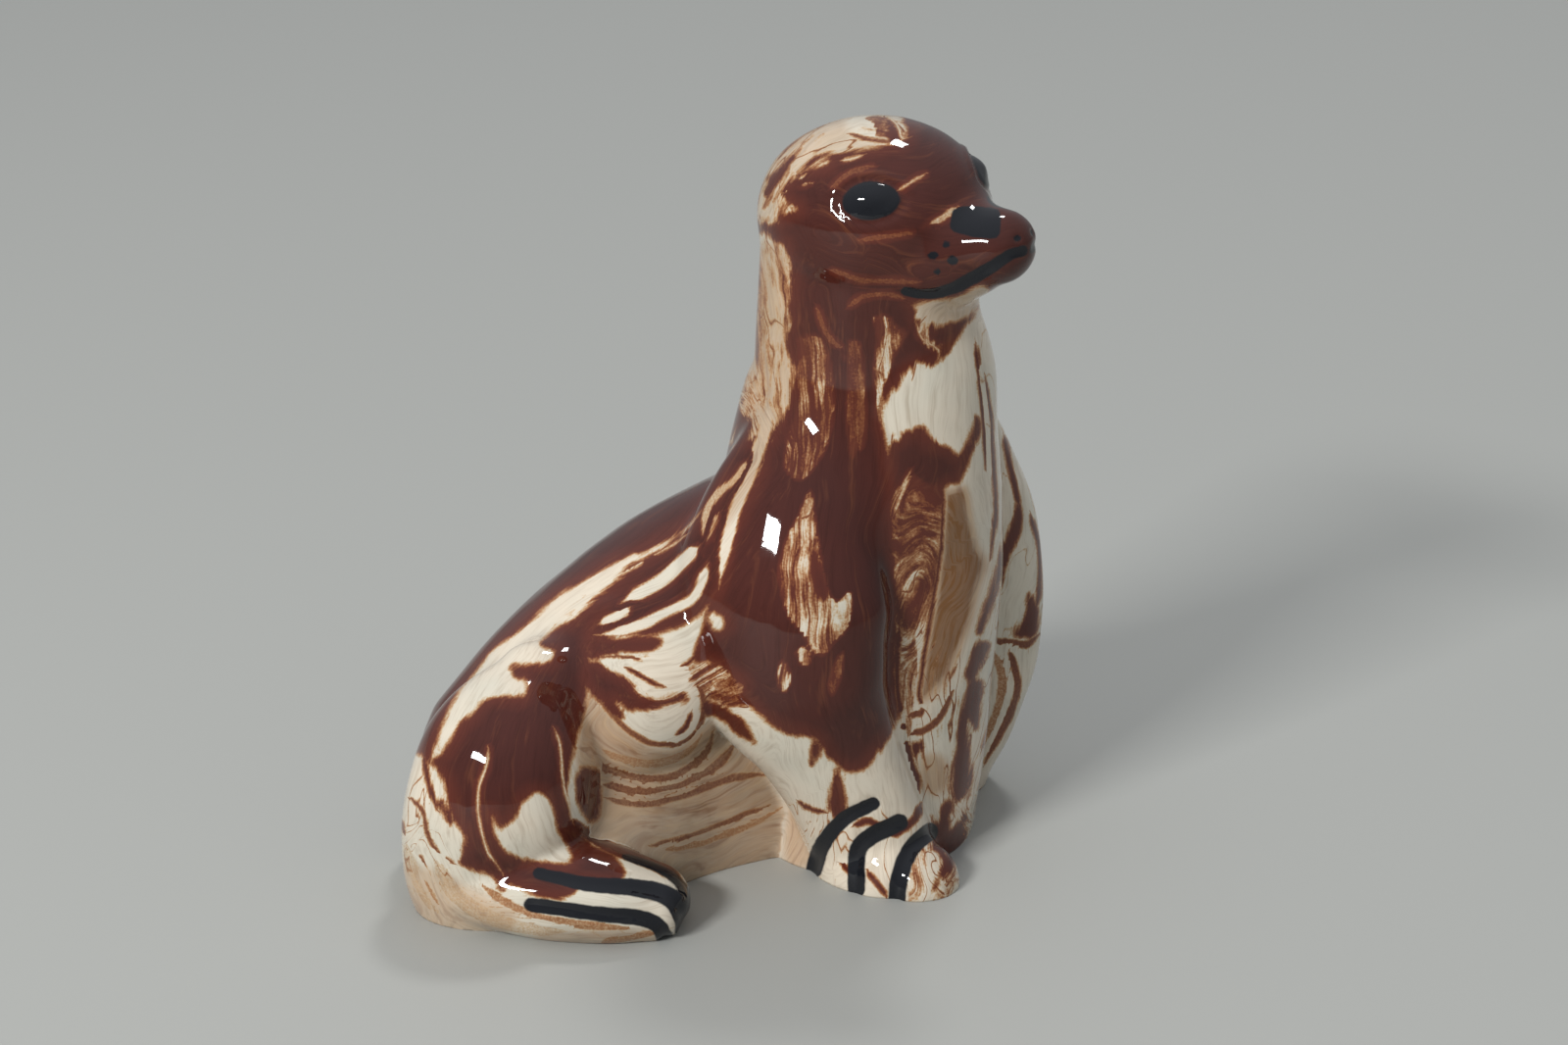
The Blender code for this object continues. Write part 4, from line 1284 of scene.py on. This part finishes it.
CREAM_SLIP = (0.70, 0.62, 0.50)
SAND_SLIP = (0.58, 0.41, 0.25)
TAN_SLIP = (0.40, 0.19, 0.085)
RUST_SLIP = (0.22, 0.070, 0.028)
BROWN_SLIP = (0.112, 0.025, 0.015)
DARK_SLIP = (0.068, 0.017, 0.012)
WARM_WASH = (0.45, 0.235, 0.098)
BEIGE_WASH = (0.39, 0.225, 0.115)
GOLD_WASH = (0.225, 0.096, 0.030)
BAND_SLIP = (0.21, 0.085, 0.038)

# Colours by place: of the slip by its depth, of the wash by its strength, and the shades over all
SLIP_STOPS = [(0.0, CREAM_SLIP), (0.385, CREAM_SLIP), (0.43, SAND_SLIP), (0.465, TAN_SLIP),
              (0.51, RUST_SLIP), (0.56, BROWN_SLIP), (1.0, DARK_SLIP)]
WASH_STOPS = [(0.62, WARM_WASH), (0.70, BEIGE_WASH), (0.86, BEIGE_WASH), (1.0, GOLD_WASH)]
VEIN_STOPS = [(0.15, (0.66, 0.60, 0.55)), (0.55, (0.95, 0.94, 0.93)), (0.9, (1.0, 1.0, 1.0))]
CLOUD_STOPS = [(0.35, (0.84, 0.90, 0.93)), (0.62, (1.0, 1.0, 1.0))]

# Noise along the flow: its grain along, across and deep in pixels, its detail and its shift
BROAD = ((90.0, 14.0, 44.0), 3.0, 0.0)
FINE = ((60.0, 6.0, 26.0), 3.0, 7.3)
THIN = ((80.0, 2.6, 16.0), 2.0, 3.1)
RIDGES = ((95.0, 26.0, 50.0), 1.0, 11.7)
BANDS = ((150.0, 10.0, 40.0), 2.0, 5.1)

# Noise in space: grains to the metre, and detail
EDDIES = (55.0, 2.0)
RAGS = (170.0, 4.0)
GRIT = (1900.0, 2.0)
CLOUDS = (38.0, 3.0)
BRUSH = (420.0, 3.0)
CLAY_CLOUDS = (60.0, 4.0)
CLAY_GRAIN = (1400.0, 3.0)

# How far noises move the slip's border or a thread, in pixels
EDDY_REACH = 26.0
BROAD_FRAY = 1.4
FINE_FRAY = 0.45
GRIT_FRAY = 0.9
STREAK_SWING = 3.2
THREAD_WOBBLE = 0.8

# How fast a thread's depth grows inwards, and where its edge lies, in pixels
BROWN_PULL = 1.6
BROWN_EDGE = 0.6
CREAM_PULL = -1.7
CREAM_EDGE = -0.8

# Slope and start of straight lines, most of them clamped to make masks
SIGNED = (4.0, -2.0)
RAGGED = (7.0, -3.5)
HELD = (13.0, -14.8)
ON_RIDGE = (-11.0, 1.0)
VEINY = (2.6, -0.75)
VEIN_SLIP = (6.2, -5.2)
FIELD_DEPTH = (1.0 / 32.0, 0.5)
RUSTY = (0.42, -0.12)
ON_BROWN = (18.0, -9.5)
ON_CREAM = (-5.0, 2.9)
UNEVEN = (0.22, 0.92)
EVEN_GOLD = (6.0, -5.1)
UNLIKE_GOLD = (-6.0, 6.0)
DARK_BANDS = (1.5, -0.25)
PALE_BANDS = (-1.5, -0.2)
VEIN_SHADE = (0.2, 0.55)
BRUSH_EDGE = (2.4, -1.2)
PAINT_EDGE = (0.6, 0.5)
DRY_ROUGHNESS = (0.2, 0.72)

# The marbling group's inputs, each read from the attribute of its name
MARBLING_INPUTS = (("Slip", 'Float'), ("Streaked", 'Float'), ("Wash", 'Float'),
                   ("Flow", 'Vector'), ("Brown Thread", 'Vector'), ("Cream Thread", 'Vector'))


def frayed_field(tree, given, place, flow, broad, fine, thin):
    """The areas' field, frayed along the flow and crossed by veins where it is streaked.

    There cream is held near the border of tan, and the streaks swing it between cream and brown.
    """
    streaked = given["Streaked"]
    frayed = calc(tree, 'MAXIMUM', given["Slip"], line(tree, streaked, *HELD))
    frayed = line(tree, broad, BROAD_FRAY, frayed)
    frayed = line(tree, fine, FINE_FRAY, frayed)
    ragged = line(tree, grains(tree, place, *RAGS), *RAGGED)
    frayed = calc(tree, 'ADD', frayed, ragged)
    swing = line(tree, thin, 0.5, line(tree, broad, 0.8, fine))
    swing = calc(tree, 'MULTIPLY', swing, calc(tree, 'MULTIPLY', streaked, STREAK_SWING))
    frayed = calc(tree, 'ADD', frayed, swing)
    ridge = calc(tree, 'ABSOLUTE', streaks(tree, flow, *RIDGES))
    vein = calc(tree, 'MULTIPLY', clamped(tree, line(tree, ridge, *ON_RIDGE)),
                clamped(tree, line(tree, streaked, *VEINY)))
    return calc(tree, 'MAXIMUM', frayed, line(tree, vein, *VEIN_SLIP))


def threaded_field(tree, given, field, broad, fine):
    """The field with the dark threads laid over it, and then the pale ones."""
    wobble = calc(tree, 'MULTIPLY', line(tree, broad, 1.6, fine), THREAD_WOBBLE)
    brown, brown_slip = thread_slip(tree, given["Brown Thread"], wobble, BROWN_PULL)
    cream, cream_slip = thread_slip(tree, given["Cream Thread"], wobble, CREAM_PULL)
    brown = calc(tree, 'MINIMUM', calc(tree, 'ADD', brown, BROWN_EDGE), brown_slip)
    cream = calc(tree, 'MAXIMUM', calc(tree, 'ADD', cream, CREAM_EDGE), cream_slip)
    return calc(tree, 'MINIMUM', calc(tree, 'MAXIMUM', field, brown), cream)


def slip_colour(tree, depth, broad, thin):
    """From cream to dark brown with the depth, with streaks of rust in the brown."""
    rusty = line(tree, line(tree, thin, 0.4, broad), *RUSTY)
    rusty = calc(tree, 'MULTIPLY', clamped(tree, rusty, 0.6),
                 clamped(tree, line(tree, depth, *ON_BROWN)))
    return between(tree, rusty, ramp(tree, depth, SLIP_STOPS), RUST_SLIP)


def washed_colour(tree, wash, slip, depth, flow, fine):
    """The slip, tinted where it is pale and washed, with darker and paler bands except on gold."""
    tint = calc(tree, 'MULTIPLY', wash, line(tree, fine, *UNEVEN))
    tint = calc(tree, 'MAXIMUM', tint, line(tree, wash, *EVEN_GOLD))
    tint = calc(tree, 'MULTIPLY', tint, clamped(tree, line(tree, depth, *ON_CREAM)))
    colour = between(tree, clamped(tree, tint), slip, ramp(tree, wash, WASH_STOPS))
    bands = streaks(tree, flow, *BANDS)
    washy = calc(tree, 'MULTIPLY', tint, clamped(tree, line(tree, wash, *UNLIKE_GOLD)))
    for side, top, band in ((DARK_BANDS, 0.6, BAND_SLIP), (PALE_BANDS, 0.55, SAND_SLIP)):
        banded = calc(tree, 'MULTIPLY', clamped(tree, line(tree, bands, *side), top), washy)
        colour = between(tree, banded, colour, band)
    return colour


def marbling_group():
    """Marbled slip: a field of depth, from cream to brown, read as colour.

    The field is frayed and threaded, sprinkled with grit, coloured and washed. Veins and clouds
    then shade the whole.
    """
    tree = bpy.data.node_groups.new("marbled slip", 'ShaderNodeTree')
    for name, kind in MARBLING_INPUTS:
        tree.interface.new_socket(name, in_out='INPUT', socket_type="NodeSocket" + kind)
    tree.interface.new_socket("Colour", in_out='OUTPUT', socket_type='NodeSocketColor')
    given = tree.nodes.new("NodeGroupInput").outputs
    place = add_node(tree, "TexCoord").outputs["Object"]
    scale, detail = EDDIES
    eddy = add_node(tree, "TexNoise", {"Vector": place, "Scale": scale, "Detail": detail})
    eddy = add_node(tree, "VectorMath", {0: eddy.outputs[1], "Scale": EDDY_REACH},
                    operation='SCALE')
    flow = add_node(tree, "VectorMath", {0: given["Flow"], 1: eddy.outputs[0]},
                    operation='ADD').outputs[0]
    broad, fine, thin = (streaks(tree, flow, *grain) for grain in (BROAD, FINE, THIN))
    field = frayed_field(tree, given, place, flow, broad, fine, thin)
    field = threaded_field(tree, given, field, broad, fine)
    grit = line(tree, grains(tree, place, *GRIT), *SIGNED)
    depth = line(tree, line(tree, grit, GRIT_FRAY, field), *FIELD_DEPTH)
    slip = slip_colour(tree, depth, broad, thin)
    colour = washed_colour(tree, given["Wash"], slip, depth, flow, fine)
    vein = line(tree, calc(tree, 'ADD', thin, fine), *VEIN_SHADE)
    colour = times(tree, colour, ramp(tree, vein, VEIN_STOPS))
    colour = times(tree, colour, ramp(tree, grains(tree, place, *CLOUDS), CLOUD_STOPS))
    link(tree, colour, tree.nodes.new("NodeGroupOutput").inputs["Colour"])
    return tree


def read_attribute(tree, name, socket):
    return add_node(tree, "Attribute", attribute_name=name).outputs[socket]


def glazed_clay():
    """Marbled slip and black paint under a clear gloss glaze."""
    finish = bpy.data.materials.new("glazed marbled clay")
    finish.use_nodes = True
    tree = finish.node_tree
    shader = tree.nodes["Principled BSDF"]
    marbled = add_node(tree, "Group", node_tree=marbling_group())
    for name, kind in MARBLING_INPUTS:
        socket = "Vector" if kind == 'Vector' else "Fac"
        value = read_attribute(tree, name.lower().replace(" ", "_"), socket)
        link(tree, value, marbled.inputs[name])
    place = add_node(tree, "TexCoord").outputs["Object"]
    edge = line(tree, grains(tree, place, *BRUSH), *BRUSH_EDGE)
    black = calc(tree, 'ADD', read_attribute(tree, "paint", "Fac"), edge)
    black = clamped(tree, line(tree, black, *PAINT_EDGE))
    colour = between(tree, black, marbled.outputs[0], BLACK_PAINT)
    link(tree, colour, shader.inputs["Base Color"])
    for name, value in (("Roughness", 0.5), ("Specular IOR Level", 0.0), ("Coat Weight", 1.0),
                        ("Coat Roughness", 0.03), ("Coat IOR", 1.4)):
        shader.inputs[name].default_value = value
    return finish


def bare_clay():
    """Unglazed fired clay: cloudy buff with dark specks, dry and slightly grainy."""
    finish = bpy.data.materials.new("bare clay")
    finish.use_nodes = True
    tree = finish.node_tree
    shader = tree.nodes["Principled BSDF"]
    place = add_node(tree, "TexCoord").outputs["Object"]
    cloud = grains(tree, place, *CLAY_CLOUDS)
    speck = add_node(tree, "TexVoronoi", {"Vector": place, "Scale": 700.0}).outputs["Distance"]
    buff = ramp(tree, cloud, [(0.3, (0.44, 0.32, 0.23)), (0.7, (0.60, 0.48, 0.37))])
    specked = ramp(tree, speck, [(0.10, (0.45, 0.38, 0.33)), (0.20, (1.0, 1.0, 1.0))])
    link(tree, times(tree, buff, specked), shader.inputs["Base Color"])
    link(tree, line(tree, cloud, *DRY_ROUGHNESS), shader.inputs["Roughness"])
    bump = add_node(tree, "Bump", {"Height": grains(tree, place, *CLAY_GRAIN),
                                   "Strength": 0.35, "Distance": 0.3 * MM})
    link(tree, bump.outputs[0], shader.inputs["Normal"])
    return finish


# The studio: its colours, and lamps with place in metres, width, height and power in watts
STUDIO_EDGE = (0.25, 0.255, 0.265)
STUDIO_TOP = (0.60, 0.62, 0.66)
FLOOR_COLOUR = (0.375, 0.38, 0.355)
FLOOR_HALF_WIDTH = 12000.0
LAMPS = (("window", (-0.85, -1.75, 1.25), 0.62, 0.20, 44.0),
         ("overhead", (0.25, 1.1, 2.2), 0.32, 0.32, 14.0))


def plain_material(name, colour, roughness):
    finish = bpy.data.materials.new(name)
    finish.use_nodes = True
    shader = finish.node_tree.nodes["Principled BSDF"]
    shader.inputs["Base Color"].default_value = (*colour, 1.0)
    shader.inputs["Roughness"].default_value = roughness
    return finish


def make_camera():
    """The camera at the photograph's viewing angle."""
    lens = bpy.data.cameras.new("camera")
    lens.sensor_width = SENSOR_WIDTH
    lens.lens = FOCAL_PIXELS / IMAGE_WIDTH * SENSOR_WIDTH
    camera = bpy.data.objects.new("camera", lens)
    bpy.context.scene.collection.objects.link(camera)
    turn = Matrix.Rotation(math.radians(CAMERA_TURN), 4, 'Z')
    pitch = Matrix.Rotation(math.radians(90.0 - CAMERA_PITCH), 4, 'X')
    camera.matrix_world = Matrix.Translation(CAMERA_PLACE) @ turn @ pitch
    bpy.context.scene.camera = camera


def make_floor():
    """A plain pale square floor."""
    half = FLOOR_HALF_WIDTH
    corners = np.array([(-half, -half, 0), (half, -half, 0), (half, half, 0), (-half, half, 0)])
    mesh = bpy.data.meshes.new("floor")
    mesh.from_pydata((corners * MM).tolist(), [], [(0, 1, 2, 3)])
    floor = new_object("floor", mesh)
    floor.data.materials.append(plain_material("floor", FLOOR_COLOUR, 0.6))


def make_lights():
    """A pale studio: a world that pales from its edge to overhead, and two soft lamps."""
    world = bpy.data.worlds.new("studio")
    bpy.context.scene.world = world
    world.use_nodes = True
    tree = world.node_tree
    way = add_node(tree, "TexCoord").outputs["Generated"]
    rise = add_node(tree, "SeparateXYZ", {0: way}).outputs[2]
    sky = ramp(tree, rise, [(0.0, STUDIO_EDGE), (1.0, STUDIO_TOP)])
    link(tree, sky, tree.nodes["Background"].inputs["Color"])
    for name, place, width, height, power in LAMPS:
        lamp = bpy.data.lights.new(name, 'AREA')
        lamp.shape = 'RECTANGLE'
        lamp.size = width
        lamp.size_y = height
        lamp.energy = power
        stand = bpy.data.objects.new(name, lamp)
        bpy.context.scene.collection.objects.link(stand)
        aim = (-Vector(place)).to_track_quat('-Z', 'Y').to_matrix().to_4x4()
        stand.matrix_world = Matrix.Translation(place) @ aim


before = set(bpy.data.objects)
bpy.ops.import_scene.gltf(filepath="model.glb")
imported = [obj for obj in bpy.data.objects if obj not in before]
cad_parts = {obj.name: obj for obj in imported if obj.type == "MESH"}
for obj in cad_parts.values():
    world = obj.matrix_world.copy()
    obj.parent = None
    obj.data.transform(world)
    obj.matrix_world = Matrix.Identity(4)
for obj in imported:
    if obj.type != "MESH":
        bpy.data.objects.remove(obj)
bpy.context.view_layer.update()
bpy.context.scene.view_settings.view_transform = 'Standard'
make_camera()
make_lights()
make_floor()
seal, shift = make_seal(glazed_clay(), bare_clay())
paint_seal(seal, shift)
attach(seal, "root")
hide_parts("seal_figurine")
